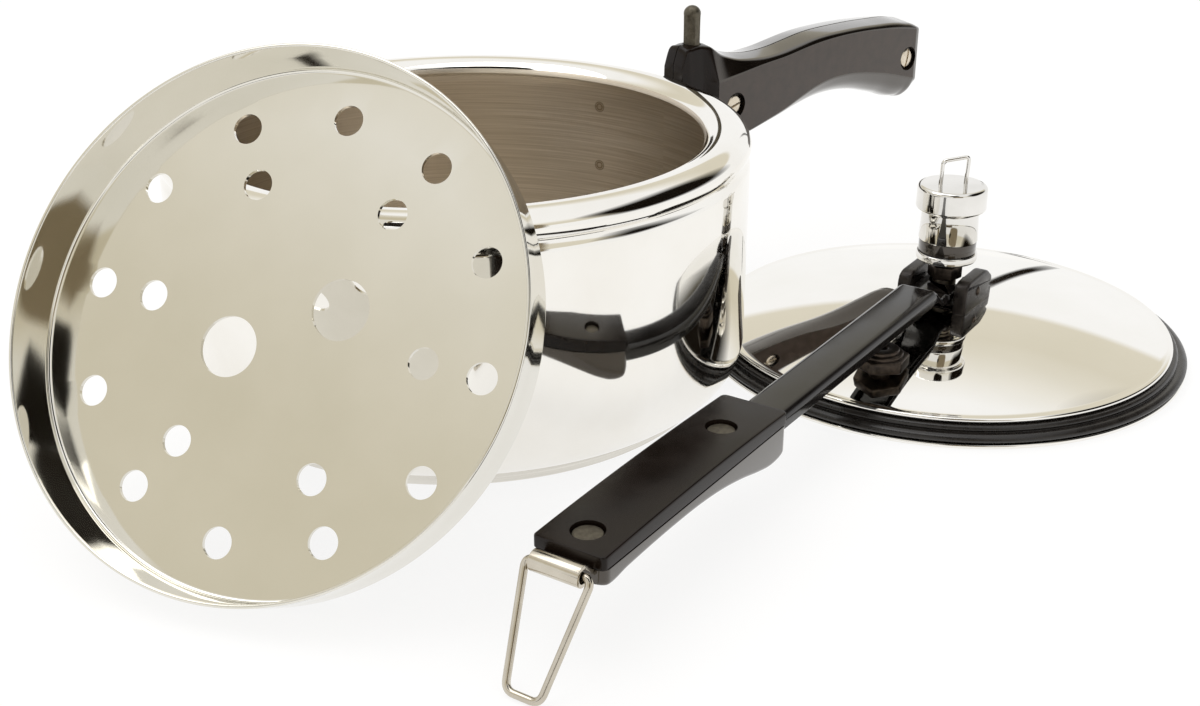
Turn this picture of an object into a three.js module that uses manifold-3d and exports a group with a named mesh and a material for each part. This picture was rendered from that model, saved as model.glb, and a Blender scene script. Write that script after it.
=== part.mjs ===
// Stovetop pressure cooker with an inside-fitting lid: pot with long handle, lid with lever arm and
// latch loop, vent weight, and a perforated steamer tray leaning on the pot.
// Millimetres, +Z up. The origin is the centre of the pot's base on the floor, +X runs along the pot handle.
import * as THREE from 'three';
import { mergeVertices } from 'three/addons/utils/BufferGeometryUtils.js';
import Module from 'manifold-3d';

const wasm = await Module();
wasm.setup();

// Fits shared by all pieces
const GAP = 0.3;
const DEG = Math.PI / 180;

// Pot body, base and rim
const POT_RADIUS = 98;
const POT_WALL = 1.6;
const POT_HEIGHT = 91.5;
const POT_CORNER = 14;
const BASE_DISC_THICKNESS = 4;
const BASE_DISC_INSET = 12;
const BASE_DISC_EDGE = 1.2;
const OPENING_RADIUS = 82.5;
const RIM_HEIGHT = 11;
const RIM_PROUD = 0.3;
// Angles in degrees round the rim's section: its lip, and where the roll meets the crease out- and inside.
const RIM_CURL = 172;
const RIM_CURL_OUT = 36;
const RIM_CURL_IN = 24;
const CREASE_DEPTH = 1.6;

// Pot handle, its bracket and fasteners
const HANDLE_REACH = 237;
const HANDLE_WIDTH = 20;
const HANDLE_BLOCK_TOP = 100.5;
const HANDLE_FOOT = 58;
const RIM_CLEARANCE = 2.7;
const BRACKET_SHEET = 1.5;
const BRACKET_WING_ANGLE = 20;
const BRACKET_LOW = 46;
const BRACKET_HIGH = 79;
const TONGUE_REACH = 37;
const TONGUE_THICKNESS = 3;
const TONGUE_COVER = 4;
const SCREW_RADIUS = 2.2;
const SCREW_HEAD_RADIUS = 3.8;
const SCREW_HEAD_HEIGHT = 1.8;
const SCREW_SLOT = 0.8;
const NUT_FLATS = 6.4;
const NUT_HEIGHT = 2.6;
const RECESS_DEPTH = 2.6;
const FRONT_SCREW_OUT = 24.2;
const FRONT_SCREW_HEIGHT = 75.6;
const REAR_SCREW_IN = 6.4;
const REAR_SCREW_HEIGHT = 76.5;
const POST_RADIUS = 3.3;
const POST_HEIGHT = 14;
const POST_SOCKET = 12;
const POST_OUT = 9.3;
// Lines along the handle as shares of its length and of its height: the crown and the keel where the halves
// meet, and the upper and lower edges of the flat side.
const HANDLE_CROWN = [[0, 0.847], [0.015, 0.974], [0.037, 0.998], [0.081, 0.998], [0.11, 0.974],
  [0.147, 0.908], [0.191, 0.859], [0.265, 0.814], [0.36, 0.809], [0.441, 0.84], [0.515, 0.871],
  [0.662, 0.88], [0.794, 0.866], [0.934, 0.828], [0.985, 0.762], [1, 0.659]];
const HANDLE_FACE_TOP = [[0, 0.659], [0.081, 0.659], [0.188, 0.696], [0.279, 0.734], [0.375, 0.758],
  [0.493, 0.805], [0.574, 0.824], [0.662, 0.828], [0.801, 0.805], [0.978, 0.72], [1, 0.635]];
const HANDLE_FACE_LOW = [[0, 0.094], [0.081, 0.052], [0.228, 0.132], [0.309, 0.191], [0.39, 0.256],
  [0.463, 0.336], [0.522, 0.393], [0.588, 0.428], [0.658, 0.431], [0.816, 0.358], [1, 0.202]];
const HANDLE_KEEL = [[0, 0.071], [0.022, 0], [0.103, 0.007], [0.221, 0.075], [0.36, 0.146],
  [0.471, 0.202], [0.566, 0.24], [0.654, 0.24], [0.728, 0.212], [0.846, 0.118], [0.956, 0.014],
  [0.989, 0.014], [1, 0.071]];
// Width of the handle along it, and of its top ridge, as shares of the full width; fall of the ridge below the crown.
const HANDLE_SIDE = [[0, 0.5], [0.022, 0.62], [0.074, 0.68], [0.103, 1], [0.949, 1], [1, 0.94]];
const HANDLE_RIDGE = [[0, 0.48], [0.103, 0.54], [0.154, 0.6], [0.213, 0.72], [0.324, 0.86], [1, 0.86]];
const HANDLE_RIDGE_FALL = [[0, 0.06], [0.11, 0.06], [0.213, 0.3], [0.324, 0.45], [1, 0.45]];
const HANDLE_STATIONS = [0, 0.02, 0.05, 0.08, 0.1, 0.125, 0.15, 0.19, 0.24, 0.3, 0.36, 0.42, 0.49, 0.56, 0.63, 0.7,
  0.77, 0.84, 0.91, 0.955, 0.985, 1];
// Roundness of the section below the flat side: shares of the width and of the fall from the side to the keel.
const HANDLE_BELLY = [[0.42, 0.9], [0.78, 0.55]];

// Steamer tray
const TRAY_RADIUS = 78.1;
const TRAY_DEPTH = 17;
const TRAY_SHEET = 1.2;
const TRAY_FLARE = 0.8;
const TRAY_CORNER = 2.5;
const TRAY_RING_OUTER = 61.75;
const TRAY_RING_INNER = 44;
const TRAY_RING_LIFT = 17.6;
const TRAY_HOLE = 4.5;
const TRAY_LIFT_HOLE = 8.8;
const TRAY_OUTER_COUNT = 12;
const TRAY_INNER_COUNT = 6;
const TRAY_SPIN = 25.3 * DEG;
const TRAY_LEAN = 34.63 * DEG;
const TRAY_AZIMUTH = 207.7 * DEG;

// Lid, gasket and what stands on the lid
// How far the gasket's edge reaches in under the pot's rounded corner.
const LID_TUCK = 10.4;
const LID_AZIMUTH = -33.69 * DEG;
const GASKET_REACH = 8.5;
const GASKET_HEIGHT = 4.6;
// Section of the gasket as shares of its width and height: a wide lip below and a narrow ridge above.
const GASKET_SECTION = [[0, 0], [0.84, 0], [1, 0.24], [0.94, 0.48], [0.76, 0.63], [0.36, 0.67], [0.44, 0.8],
  [0.38, 1], [0, 1]];
const LID_SHEET = 1.5;
const LID_NECK_RADIUS = 79.5;
const LID_FLANGE_REACH = 5.5;
const LID_BEAD_REACH = 1.7;
const LID_BEAD_HEIGHT = 1.6;
const LID_CROWN = 17;
// Radii at which the dome is set out, as shares of the neck.
const DOME_STATIONS = [0.25, 0.45, 0.62, 0.77, 0.9];
const VENT_RADIUS = 3.5;
const VENT_BORE = 1.6;
const VENT_TOP = 42;
const VENT_SHOULDER = 4.3;
const VENT_NUT_FLATS = 11;
const VENT_NUT_BOTTOM = 25.8;
const VENT_NUT_HEIGHT = 5;
const LOCK_NUT_FLATS = 13;
const LOCK_NUT_HEIGHT = 4;
const VALVE_ALONG = 60;
const VALVE_ASIDE = 2.8;
const VALVE_FLATS = 17;
const VALVE_HEX_HEIGHT = 4.2;
const VALVE_BOSS_RADIUS = 6;
const VALVE_BOSS_HEIGHT = 2.4;
const VALVE_STEM_RADIUS = 4;
const VALVE_PLUG_RADIUS = 1.7;
const VALVE_NUT_FLATS = 12;
const VALVE_NUT_HEIGHT = 3;

// Pivot between lid and lever arm
const PIVOT_PLATE = 1;
const CHEEK_THICKNESS = 5;
const CHEEK_LENGTH = 26;
const CHEEK_SHIFT = -1;
const CHEEK_ROUND = 4;
const CHEEK_TOP = 28.6;
const CHEEK_PLAY = 0.75;
const PIN_RADIUS = 1.1;
const PIN_LENGTH = 7.2;
const PIN_BORE_PLAY = 0.25;
const PIN_EYE_RADIUS = 2.6;
const PIN_RISE = 4.5;

// Lever arm: bar, grip, sleeve and loop
const ARM_YAW = 194.5 * DEG;
const BAR_WIDTH = 15;
const BAR_SHEET = 1.8;
const BAR_DEPTH = 5;
const BAR_TOP = 7;
const BAR_END = 7;
const BAR_EYE_THICKNESS = 2.6;
const BAR_STEP_START = 18;
const BAR_STEP_END = 25;
const BAR_EYE_PLAY = 1;
const GRIP_START = 146;
const GRIP_LENGTH = 97;
const GRIP_WIDTH = 22;
const GRIP_TOP = 12;
const GRIP_PARTING = 7.4;
// Underside of the grip: shares of its length and heights, deep at the front and hollowed behind.
const GRIP_UNDERSIDE = [[0, 2.6], [0.01, -0.4], [0.028, -2.2], [0.058, -3], [0.1, -3], [0.165, -1.9], [0.27, 0.4],
  [0.39, 2.4], [0.515, 3.4], [0.64, 3.6], [0.76, 3.4], [0.885, 2.9], [0.985, 2.4], [1, 3.2]];
const GRIP_ARCH = 0.9;
const GRIP_EDGE = 0.9;
const RIVET_RADIUS = 2.4;
const RIVET_HEAD_RADIUS = 4.2;
const RIVET_HEAD_HEIGHT = 1;
const RIVET_RECESS = 1.8;
const RIVET_FRONT = 20;
const RIVET_REAR = 88;
const SLEEVE_RADIUS = 3;
const SLEEVE_LENGTH = 15;
const SLEEVE_OUT = 4;
const SLEEVE_TAIL = 18;
const WIRE_RADIUS = 1.1;
const SLEEVE_PLAY = 0.3;
const LOOP_LENGTH = 33;
const LOOP_TIP_WIDTH = 10.5;
const LOOP_BEND = 2.5;
const LOOP_END_GAP = 1.2;

// Vent weight
const WEIGHT_BOTTOM = 33;
const WEIGHT_RING_RADIUS = 11;
const WEIGHT_RING_HEIGHT = 3;
const WEIGHT_BAND_RADIUS = 10.3;
const WEIGHT_BAND_HEIGHT = 4.4;
const WEIGHT_BODY_RADIUS = 10.1;
const WEIGHT_BODY_HEIGHT = 11;
const WEIGHT_CAP_RADIUS = 12.5;
const WEIGHT_CAP_HEIGHT = 9;
const WEIGHT_CAP_FOOT = 11.2;
const WEIGHT_CAP_FLARE_LOW = 0.08;
const WEIGHT_CAP_FLARE_HIGH = 0.2;
const WEIGHT_TAPER = 0.5;
const WEIGHT_EDGE = 1;
const WEIGHT_SPIGOT_RADIUS = 8.6;
const WEIGHT_BORE = 4.1;
const BAIL_WIDTH = 9;
const BAIL_HEIGHT = 10;
const BAIL_WIRE = 0.6;
const BAIL_SOCKET = 3;
const BAIL_YAW = -38 * DEG;

// Facets
const ROUND = 48;
const SMALL_ROUND = 20;
const HEX = 6;
const WIRE_SIDES = 8;

const paint = (color, roughness, metalness) => new THREE.MeshStandardMaterial({ color, roughness, metalness });
const POLISHED_STEEL = paint('#d8d4cc', 0.12, 1);
const CORE_METAL = paint('#b5b0a6', 0.35, 1);
const BAKELITE = paint('#1d1a19', 0.35, 0);
const NICKEL = paint('#c9bfae', 0.3, 1);
const RUBBER = paint('#171513', 0.7, 0);
const CHROME = paint('#dcdad6', 0.08, 1);
const BLACK_STEEL = paint('#2b2725', 0.35, 0.2);
const DARK_METAL = paint('#4d443c', 0.45, 1);
const ALLOY = paint('#8a8278', 0.5, 1);

const v2 = (x, y) => new THREE.Vector2(x, y);

// Points of an elliptical arc, from angle a to angle b in degrees.
function arc(cx, cy, rx, ry, a, b, count) {
  return Array.from({ length: count + 1 }, (_, i) => {
    const t = (a + (b - a) * i / count) * DEG;
    return v2(cx + rx * Math.cos(t), cy + ry * Math.sin(t));
  });
}

// A turned solid about Z from a profile of (radius, height) points that closes on itself or on the axis.
function turned(profile, sides = ROUND) {
  const area = profile.reduce((sum, p, i) => {
    const q = profile[(i + 1) % profile.length];
    return sum + p.x * q.y - q.x * p.y;
  }, 0);
  const onAxis = profile[0].x === 0;
  const ring = area > 0 ? [...profile] : [...profile].reverse();
  if (!onAxis) ring.push(ring[0].clone());
  return new THREE.LatheGeometry(ring, sides).rotateX(Math.PI / 2);
}

const rod = (radius, low, high, sides = SMALL_ROUND) =>
  turned([v2(0, low), v2(radius, low), v2(radius, high), v2(0, high)], sides);

const tube = (inner, outer, low, high, sides = SMALL_ROUND) =>
  turned([v2(inner, low), v2(outer, low), v2(outer, high), v2(inner, high)], sides);

// A hexagonal prism about Z, given across its flats.
const hexPrism = (flats, low, high) => rod(flats / 2 / Math.cos(Math.PI / HEX), low, high, HEX);

const block = (x0, x1, y0, y1, z0, z1) =>
  new THREE.BoxGeometry(x1 - x0, y1 - y0, z1 - z0).translate((x0 + x1) / 2, (y0 + y1) / 2, (z0 + z1) / 2);

// A solid whose outline lies in the XZ plane and which runs from y0 to y1, with bevelled edges.
function slab(outline, y0, y1, edge = 0) {
  const shape = new THREE.Shape(outline);
  const depth = y1 - y0 - 2 * edge;
  const options = { depth, bevelEnabled: edge > 0, bevelThickness: edge, bevelSize: edge, bevelOffset: -edge,
    bevelSegments: 2, steps: 1 };
  return new THREE.ExtrudeGeometry(shape, options).rotateX(Math.PI / 2).translate(0, y1 - edge, 0);
}

// Lays a Z solid along Y, so that what was up points to +Y.
const alongY = (geometry) => geometry.rotateX(-Math.PI / 2);

function toSolid(geometry) {
  const bare = geometry.clone();
  bare.deleteAttribute('normal');
  bare.deleteAttribute('uv');
  const merged = mergeVertices(bare, 1e-4);
  return new wasm.Manifold(new wasm.Mesh({
    numProp: 3,
    vertProperties: new Float32Array(merged.attributes.position.array),
    triVerts: new Uint32Array(merged.index.array),
  }));
}

function toGeometry(solid) {
  const mesh = solid.getMesh();
  const geometry = new THREE.BufferGeometry();
  geometry.setAttribute('position', new THREE.BufferAttribute(new Float32Array(mesh.vertProperties), 3));
  geometry.setIndex(new THREE.BufferAttribute(new Uint32Array(mesh.triVerts), 1));
  geometry.computeVertexNormals();
  return geometry;
}

const cut = (geometry, ...tools) =>
  toGeometry(tools.reduce((solid, tool) => solid.subtract(toSolid(tool)), toSolid(geometry)));

const join = (geometry, ...others) =>
  toGeometry(others.reduce((solid, other) => solid.add(toSolid(other)), toSolid(geometry)));

const common = (geometry, other) => toGeometry(toSolid(geometry).intersect(toSolid(other)));

// A round wire along a polyline whose corners are bent to one radius.
function wire(points, bend, radius, steps) {
  const path = new THREE.CurvePath();
  let from = points[0];
  for (let i = 1; i < points.length - 1; i += 1) {
    const back = points[i - 1].clone().sub(points[i]).setLength(bend);
    const on = points[i + 1].clone().sub(points[i]).setLength(bend);
    const enter = points[i].clone().add(back);
    const leave = points[i].clone().add(on);
    path.add(new THREE.LineCurve3(from, enter));
    path.add(new THREE.QuadraticBezierCurve3(enter, points[i], leave));
    from = leave;
  }
  path.add(new THREE.LineCurve3(from, points[points.length - 1]));
  const section = new THREE.Shape(arc(0, 0, radius, radius, 0, 360, WIRE_SIDES).slice(0, -1));
  return new THREE.ExtrudeGeometry(section, { extrudePath: path, steps });
}

function piece(name, geometry, material) {
  const mesh = new THREE.Mesh(geometry, material);
  mesh.name = name;
  return mesh;
}

function placed(x, y, z, yaw = 0, pitch = 0) {
  const group = new THREE.Group();
  group.position.set(x, y, z);
  group.rotation.set(0, pitch, yaw, 'ZYX');
  return group;
}

const cooker = new THREE.Group();

// Pot: one drawn shell whose rim is rolled out and in, over a heat-spreading disc.
const discRadius = POT_RADIUS - BASE_DISC_INSET;
const shellFloor = BASE_DISC_THICKNESS + GAP;
const baseFlat = POT_RADIUS - POT_CORNER;
const rimOut = POT_RADIUS + RIM_PROUD;
const rimHalfWidth = (rimOut - OPENING_RADIUS) / 2;
const rimHalfHeight = RIM_HEIGHT / 2;
const rimCentre = v2(rimOut - rimHalfWidth, POT_HEIGHT - rimHalfHeight);
const creaseHeight = POT_HEIGHT - RIM_HEIGHT + CREASE_DEPTH;

function potShell() {
  const inner = POT_RADIUS - POT_WALL;
  const creaseOut = POT_RADIUS - CREASE_DEPTH;
  return turned([
    v2(0, shellFloor),
    ...arc(baseFlat, shellFloor + POT_CORNER, POT_CORNER, POT_CORNER, -90, 0, 5),
    v2(POT_RADIUS, creaseHeight - 1.5 * CREASE_DEPTH),
    v2(creaseOut, creaseHeight),
    ...arc(rimCentre.x, rimCentre.y, rimHalfWidth, rimHalfHeight, -RIM_CURL_OUT, RIM_CURL, 11),
    ...arc(rimCentre.x, rimCentre.y, rimHalfWidth - POT_WALL, rimHalfHeight - POT_WALL, RIM_CURL, -RIM_CURL_IN, 8),
    v2(creaseOut - POT_WALL, creaseHeight),
    v2(inner, creaseHeight - 2 * CREASE_DEPTH),
    ...arc(baseFlat, shellFloor + POT_CORNER, POT_CORNER - POT_WALL, POT_CORNER - POT_WALL, 0, -90, 4),
    v2(0, shellFloor + POT_WALL),
  ]);
}

function baseDisc() {
  return turned([
    v2(0, 0),
    v2(discRadius - BASE_DISC_EDGE, 0),
    v2(discRadius, BASE_DISC_EDGE),
    v2(discRadius, BASE_DISC_THICKNESS),
    v2(0, BASE_DISC_THICKNESS),
  ]);
}

// Pot handle: two moulded halves clamped round the bracket's tongue by two screws.
const handleFront = rimOut + RIM_CLEARANCE;
const postAt = handleFront + POST_OUT;
const screws = [
  { name: 'front', x: handleFront + FRONT_SCREW_OUT, z: FRONT_SCREW_HEIGHT },
  { name: 'rear', x: HANDLE_REACH - REAR_SCREW_IN, z: REAR_SCREW_HEIGHT },
];

// A solid through closed sections of equal count, each convex, in order along the piece.
function lofted(sections) {
  const count = sections[0].length;
  const last = (sections.length - 1) * count;
  const index = [];
  for (let start = 0; start < last; start += count) {
    for (let k = 0; k < count; k += 1) {
      const a = start + k;
      const b = start + (k + 1) % count;
      index.push(a, b, a + count, b, b + count, a + count);
    }
  }
  for (let k = 1; k + 1 < count; k += 1) index.push(0, k + 1, k, last, last + k, last + k + 1);
  const geometry = new THREE.BufferGeometry().setFromPoints(sections.flat());
  return geometry.setIndex(index);
}

// The value along the handle from a line of [along, value] pairs, smooth or in straight runs.
function follow(line, Kind) {
  const curve = new Kind(line.map(([t]) => t), line.map(([, value]) => value), 1);
  return (t) => curve.evaluate(t)[0];
}

// One half of the handle's body: a narrow block under the post, widening to flat sides, with a rounded keel.
function handleBody(side) {
  const height = (line) => {
    const share = follow(line, THREE.CubicInterpolant);
    return (t) => HANDLE_FOOT + (HANDLE_BLOCK_TOP - HANDLE_FOOT) * share(t);
  };
  const [crown, faceTop, faceLow, keel] = [HANDLE_CROWN, HANDLE_FACE_TOP, HANDLE_FACE_LOW, HANDLE_KEEL].map(height);
  const [wide, ridge, fall] = [HANDLE_SIDE, HANDLE_RIDGE, HANDLE_RIDGE_FALL]
    .map((line) => follow(line, THREE.LinearInterpolant));
  const half = HANDLE_WIDTH / 2;
  return lofted(HANDLE_STATIONS.map((t) => {
    const outer = half * wide(t);
    const section = [
      [0, keel(t)],
      ...HANDLE_BELLY.map(([out, down]) => [out * outer, faceLow(t) - down * (faceLow(t) - keel(t))]),
      [outer, faceLow(t)],
      [outer, faceTop(t)],
      [Math.min(half * ridge(t), outer), crown(t) - fall(t) * (crown(t) - faceTop(t))],
      [0, crown(t)],
    ];
    const x = handleFront + (HANDLE_REACH - handleFront) * t;
    const ring = section.map(([y, z]) => new THREE.Vector3(x, side * Math.max(y, GAP / 2), z));
    return side > 0 ? ring : ring.reverse();
  }));
}

// The bracket's tongue inside the handle, grown by a clearance for its pocket.
function tongue(grow) {
  const start = POT_RADIUS + GAP + BRACKET_SHEET / 2;
  const end = handleFront + TONGUE_REACH + grow;
  const low = HANDLE_FOOT + TONGUE_COVER - grow;
  const high = BRACKET_HIGH + grow;
  const half = TONGUE_THICKNESS / 2 + grow;
  const slope = FRONT_SCREW_HEIGHT - TONGUE_COVER - grow;
  return slab([v2(start, low), v2(handleFront + TONGUE_REACH / 3, low), v2(end, slope), v2(end, high),
    v2(start, high)], -half, half);
}

function handleHalf(side) {
  const half = HANDLE_WIDTH / 2;
  const socket = rod(POST_RADIUS + GAP, HANDLE_BLOCK_TOP - POST_SOCKET - GAP, HANDLE_BLOCK_TOP + POST_HEIGHT)
    .translate(postAt, 0, 0);
  const bores = screws.flatMap(({ x, z }) => {
    const shank = alongY(rod(SCREW_RADIUS + GAP, -HANDLE_WIDTH, HANDLE_WIDTH)).translate(x, 0, z);
    const seat = side < 0
      ? alongY(rod(SCREW_HEAD_RADIUS + GAP, -HANDLE_WIDTH, RECESS_DEPTH - half))
      : alongY(hexPrism(NUT_FLATS + 2 * GAP, half - NUT_HEIGHT - GAP, HANDLE_WIDTH));
    return [shank, seat.translate(x, 0, z)];
  });
  return cut(handleBody(side), tongue(GAP), socket, ...bores);
}

// The bracket: a curved strap spot-welded to the wall, with an upright tongue into the handle.
function handleBracket() {
  const inside = POT_RADIUS + GAP;
  const outside = inside + BRACKET_SHEET;
  const strap = common(
    tube(inside, outside, BRACKET_LOW, BRACKET_HIGH, 4 * ROUND),
    block(POT_RADIUS * Math.cos(BRACKET_WING_ANGLE * DEG), 2 * POT_RADIUS, -POT_RADIUS, POT_RADIUS,
      0, POT_HEIGHT),
  );
  const hole = alongY(rod(SCREW_RADIUS + GAP, -HANDLE_WIDTH, HANDLE_WIDTH)).translate(screws[0].x, 0, screws[0].z);
  return cut(join(strap, tongue(0)), hole);
}

// A slotted round-head screw along +Y, its head on the side that faces -Y.
function handleScrew() {
  const half = HANDLE_WIDTH / 2;
  const seat = RECESS_DEPTH - half - GAP;
  const solid = turned([
    v2(0, seat - SCREW_HEAD_HEIGHT),
    v2(SCREW_HEAD_RADIUS * 0.7, seat - SCREW_HEAD_HEIGHT),
    v2(SCREW_HEAD_RADIUS, seat - SCREW_HEAD_HEIGHT / 3),
    v2(SCREW_HEAD_RADIUS, seat),
    v2(SCREW_RADIUS, seat),
    v2(SCREW_RADIUS, half - GAP),
    v2(0, half - GAP),
  ], SMALL_ROUND);
  const slot = block(-SCREW_HEAD_RADIUS - 1, SCREW_HEAD_RADIUS + 1, -SCREW_SLOT / 2, SCREW_SLOT / 2,
    seat - 2 * SCREW_HEAD_HEIGHT, seat - SCREW_HEAD_HEIGHT / 2);
  return alongY(cut(solid, slot));
}

function handleNut() {
  const half = HANDLE_WIDTH / 2;
  return alongY(cut(hexPrism(NUT_FLATS, half - NUT_HEIGHT, half), rod(SCREW_RADIUS + GAP, 0, HANDLE_WIDTH)));
}

// The guide post that the lid's channel drops over, its foot held between the handle halves.
function guidePost() {
  const foot = HANDLE_BLOCK_TOP - POST_SOCKET;
  const crown = HANDLE_BLOCK_TOP + POST_HEIGHT;
  return turned([
    v2(0, foot),
    v2(POST_RADIUS, foot),
    v2(POST_RADIUS, crown - POST_RADIUS),
    ...arc(0, crown - POST_RADIUS, POST_RADIUS, POST_RADIUS, 0, 90, 4).slice(1, -1),
    v2(0, crown),
  ], SMALL_ROUND);
}

const pot = new THREE.Group();
pot.add(piece('pot_shell', potShell(), POLISHED_STEEL));
pot.add(piece('base_disc', baseDisc(), CORE_METAL));
pot.add(piece('handle_bracket', handleBracket(), CORE_METAL));
pot.add(piece('handle_half_near', handleHalf(-1), BAKELITE));
pot.add(piece('handle_half_far', handleHalf(1), BAKELITE));
for (const { name, x, z } of screws) {
  pot.add(piece(`handle_screw_${name}`, handleScrew().translate(x, 0, z), NICKEL));
  pot.add(piece(`handle_nut_${name}`, handleNut().translate(x, 0, z), NICKEL));
}
pot.add(piece('guide_post', guidePost().translate(postAt, 0, 0), DARK_METAL));
cooker.add(pot);

// Steamer tray: a shallow pressed dish, its perforated floor leaning back against the pot's rim.
function steamerTray() {
  const floorRadius = TRAY_RADIUS - TRAY_FLARE;
  const corner = floorRadius - TRAY_CORNER;
  const inside = TRAY_CORNER - TRAY_SHEET;
  const dish = turned([
    v2(0, 0),
    ...arc(corner, TRAY_CORNER, TRAY_CORNER, TRAY_CORNER, -90, 0, 3),
    v2(TRAY_RADIUS, TRAY_DEPTH),
    v2(TRAY_RADIUS - TRAY_SHEET, TRAY_DEPTH),
    ...arc(corner, TRAY_CORNER, inside, inside, 0, -90, 2),
    v2(0, TRAY_SHEET),
  ]);
  const drill = (radius, ring, angle, sides) => rod(radius, -TRAY_DEPTH, TRAY_DEPTH, sides)
    .translate(ring * Math.cos(angle), ring * Math.sin(angle), 0);
  const around = (count, ring, radius, start, sides) => Array.from({ length: count }, (_, i) =>
    drill(radius, ring, start + 2 * Math.PI * i / count, sides));
  return cut(
    dish,
    ...around(TRAY_OUTER_COUNT, TRAY_RING_OUTER, TRAY_HOLE, TRAY_SPIN, SMALL_ROUND),
    ...around(TRAY_INNER_COUNT, TRAY_RING_INNER, TRAY_HOLE, TRAY_SPIN, SMALL_ROUND),
    ...around(2, TRAY_RING_LIFT, TRAY_LIFT_HOLE, TRAY_SPIN + Math.PI / 2, ROUND / 2),
  );
}

// The tray stands on its lower corner and its back touches the rim: both give its centre.
const leanCos = Math.cos(TRAY_LEAN);
const leanSin = Math.sin(TRAY_LEAN);
const rimSupport = leanCos * rimCentre.x + leanSin * rimCentre.y
  + Math.hypot(leanCos * rimHalfWidth, leanSin * rimHalfHeight);
const trayHeight = leanCos * (TRAY_RADIUS - TRAY_FLARE - TRAY_CORNER) + TRAY_CORNER * (1 - leanSin);
const trayOut = (rimSupport + GAP - leanSin * trayHeight) / leanCos;
const tray = placed(trayOut * Math.cos(TRAY_AZIMUTH), trayOut * Math.sin(TRAY_AZIMUTH), trayHeight,
  TRAY_AZIMUTH, Math.PI / 2 - TRAY_LEAN);
tray.add(piece('steamer_tray', steamerTray(), POLISHED_STEEL));
cooker.add(tray);

// Lid: a domed pressing with an edge bead, a neck for the gasket and a lower flange.
const gasketRadius = LID_NECK_RADIUS + GASKET_REACH;
const flangeRadius = LID_NECK_RADIUS + LID_FLANGE_REACH;
const beadRadius = LID_NECK_RADIUS + LID_BEAD_REACH;
const lidDistance = POT_RADIUS + gasketRadius - LID_TUCK;
const lid = placed(lidDistance * Math.cos(LID_AZIMUTH), lidDistance * Math.sin(LID_AZIMUTH), 0);
const gasketLow = LID_SHEET + GAP;
const beadLow = gasketLow + GASKET_HEIGHT + GAP;
const beadTop = beadLow + LID_BEAD_HEIGHT;
const crownRise = LID_CROWN - beadTop;
// Height of the dome's upper surface at a radius: a shallow paraboloid.
const domeTop = (radius) => LID_CROWN - crownRise * (radius / LID_NECK_RADIUS) ** 2;

function lidDome() {
  const upper = DOME_STATIONS.map((t) => v2(t * LID_NECK_RADIUS, domeTop(t * LID_NECK_RADIUS)));
  const innerNeck = LID_NECK_RADIUS - LID_SHEET;
  const lower = DOME_STATIONS.map((t) => v2(t * innerNeck, domeTop(t * LID_NECK_RADIUS) - LID_SHEET)).reverse();
  const shell = turned([
    v2(0, LID_CROWN),
    ...upper,
    v2(LID_NECK_RADIUS, beadTop),
    v2(beadRadius - LID_BEAD_HEIGHT / 4, beadTop),
    v2(beadRadius, (beadTop + beadLow) / 2),
    v2(beadRadius - LID_BEAD_HEIGHT / 4, beadLow),
    v2(LID_NECK_RADIUS, beadLow),
    v2(LID_NECK_RADIUS, LID_SHEET),
    v2(flangeRadius, LID_SHEET),
    v2(flangeRadius, 0),
    v2(innerNeck, 0),
    v2(innerNeck, beadTop - LID_SHEET),
    ...lower,
    v2(0, LID_CROWN - LID_SHEET),
  ]);
  const ventHole = rod(VENT_RADIUS + GAP, 0, 2 * LID_CROWN);
  const valveHole = rod(VALVE_STEM_RADIUS + GAP, 0, 2 * LID_CROWN).translate(valveX, valveY, 0);
  return cut(shell, ventHole, valveHole);
}

function lidGasket() {
  const inner = LID_NECK_RADIUS + GAP;
  const at = ([out, up]) => v2(inner + (gasketRadius - inner) * out, gasketLow + GASKET_HEIGHT * up);
  return turned(GASKET_SECTION.map(at));
}

// The valve's place on the dome, in the lid's own axes, set out along and beside the arm.
const valveX = VALVE_ALONG * Math.cos(ARM_YAW) + VALVE_ASIDE * -Math.sin(ARM_YAW);
const valveY = VALVE_ALONG * Math.sin(ARM_YAW) + VALVE_ASIDE * Math.cos(ARM_YAW);
const valveSeat = domeTop(Math.hypot(VALVE_ALONG, VALVE_ASIDE) - VALVE_FLATS / 2) + GAP;
const valveUnder = domeTop(Math.hypot(VALVE_ALONG, VALVE_ASIDE) + VALVE_FLATS / 2) - LID_SHEET - GAP;

// The vent tube stands in the lid's centre, held between a lock nut below and a hexagon nut above.
const plateLow = LID_CROWN + GAP;
const plateHigh = plateLow + PIVOT_PLATE;
const lockNutTop = domeTop(LOCK_NUT_FLATS) - LID_SHEET - GAP;

function ventTube() {
  const low = lockNutTop - LOCK_NUT_HEIGHT - GAP;
  return turned([
    v2(VENT_BORE, low),
    v2(VENT_RADIUS, low),
    v2(VENT_RADIUS, plateHigh + GAP),
    v2(VENT_SHOULDER, plateHigh + GAP),
    v2(VENT_SHOULDER, VENT_NUT_BOTTOM - GAP),
    v2(VENT_RADIUS, VENT_NUT_BOTTOM - GAP),
    v2(VENT_RADIUS, VENT_TOP),
    v2(VENT_BORE, VENT_TOP),
  ], SMALL_ROUND);
}

const ventNut = () => cut(
  hexPrism(VENT_NUT_FLATS, VENT_NUT_BOTTOM, VENT_NUT_BOTTOM + VENT_NUT_HEIGHT),
  rod(VENT_RADIUS + GAP, 0, VENT_TOP),
);

const lockNut = () => cut(
  hexPrism(LOCK_NUT_FLATS, lockNutTop - LOCK_NUT_HEIGHT, lockNutTop),
  rod(VENT_RADIUS + GAP, 0, VENT_TOP),
);

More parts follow.
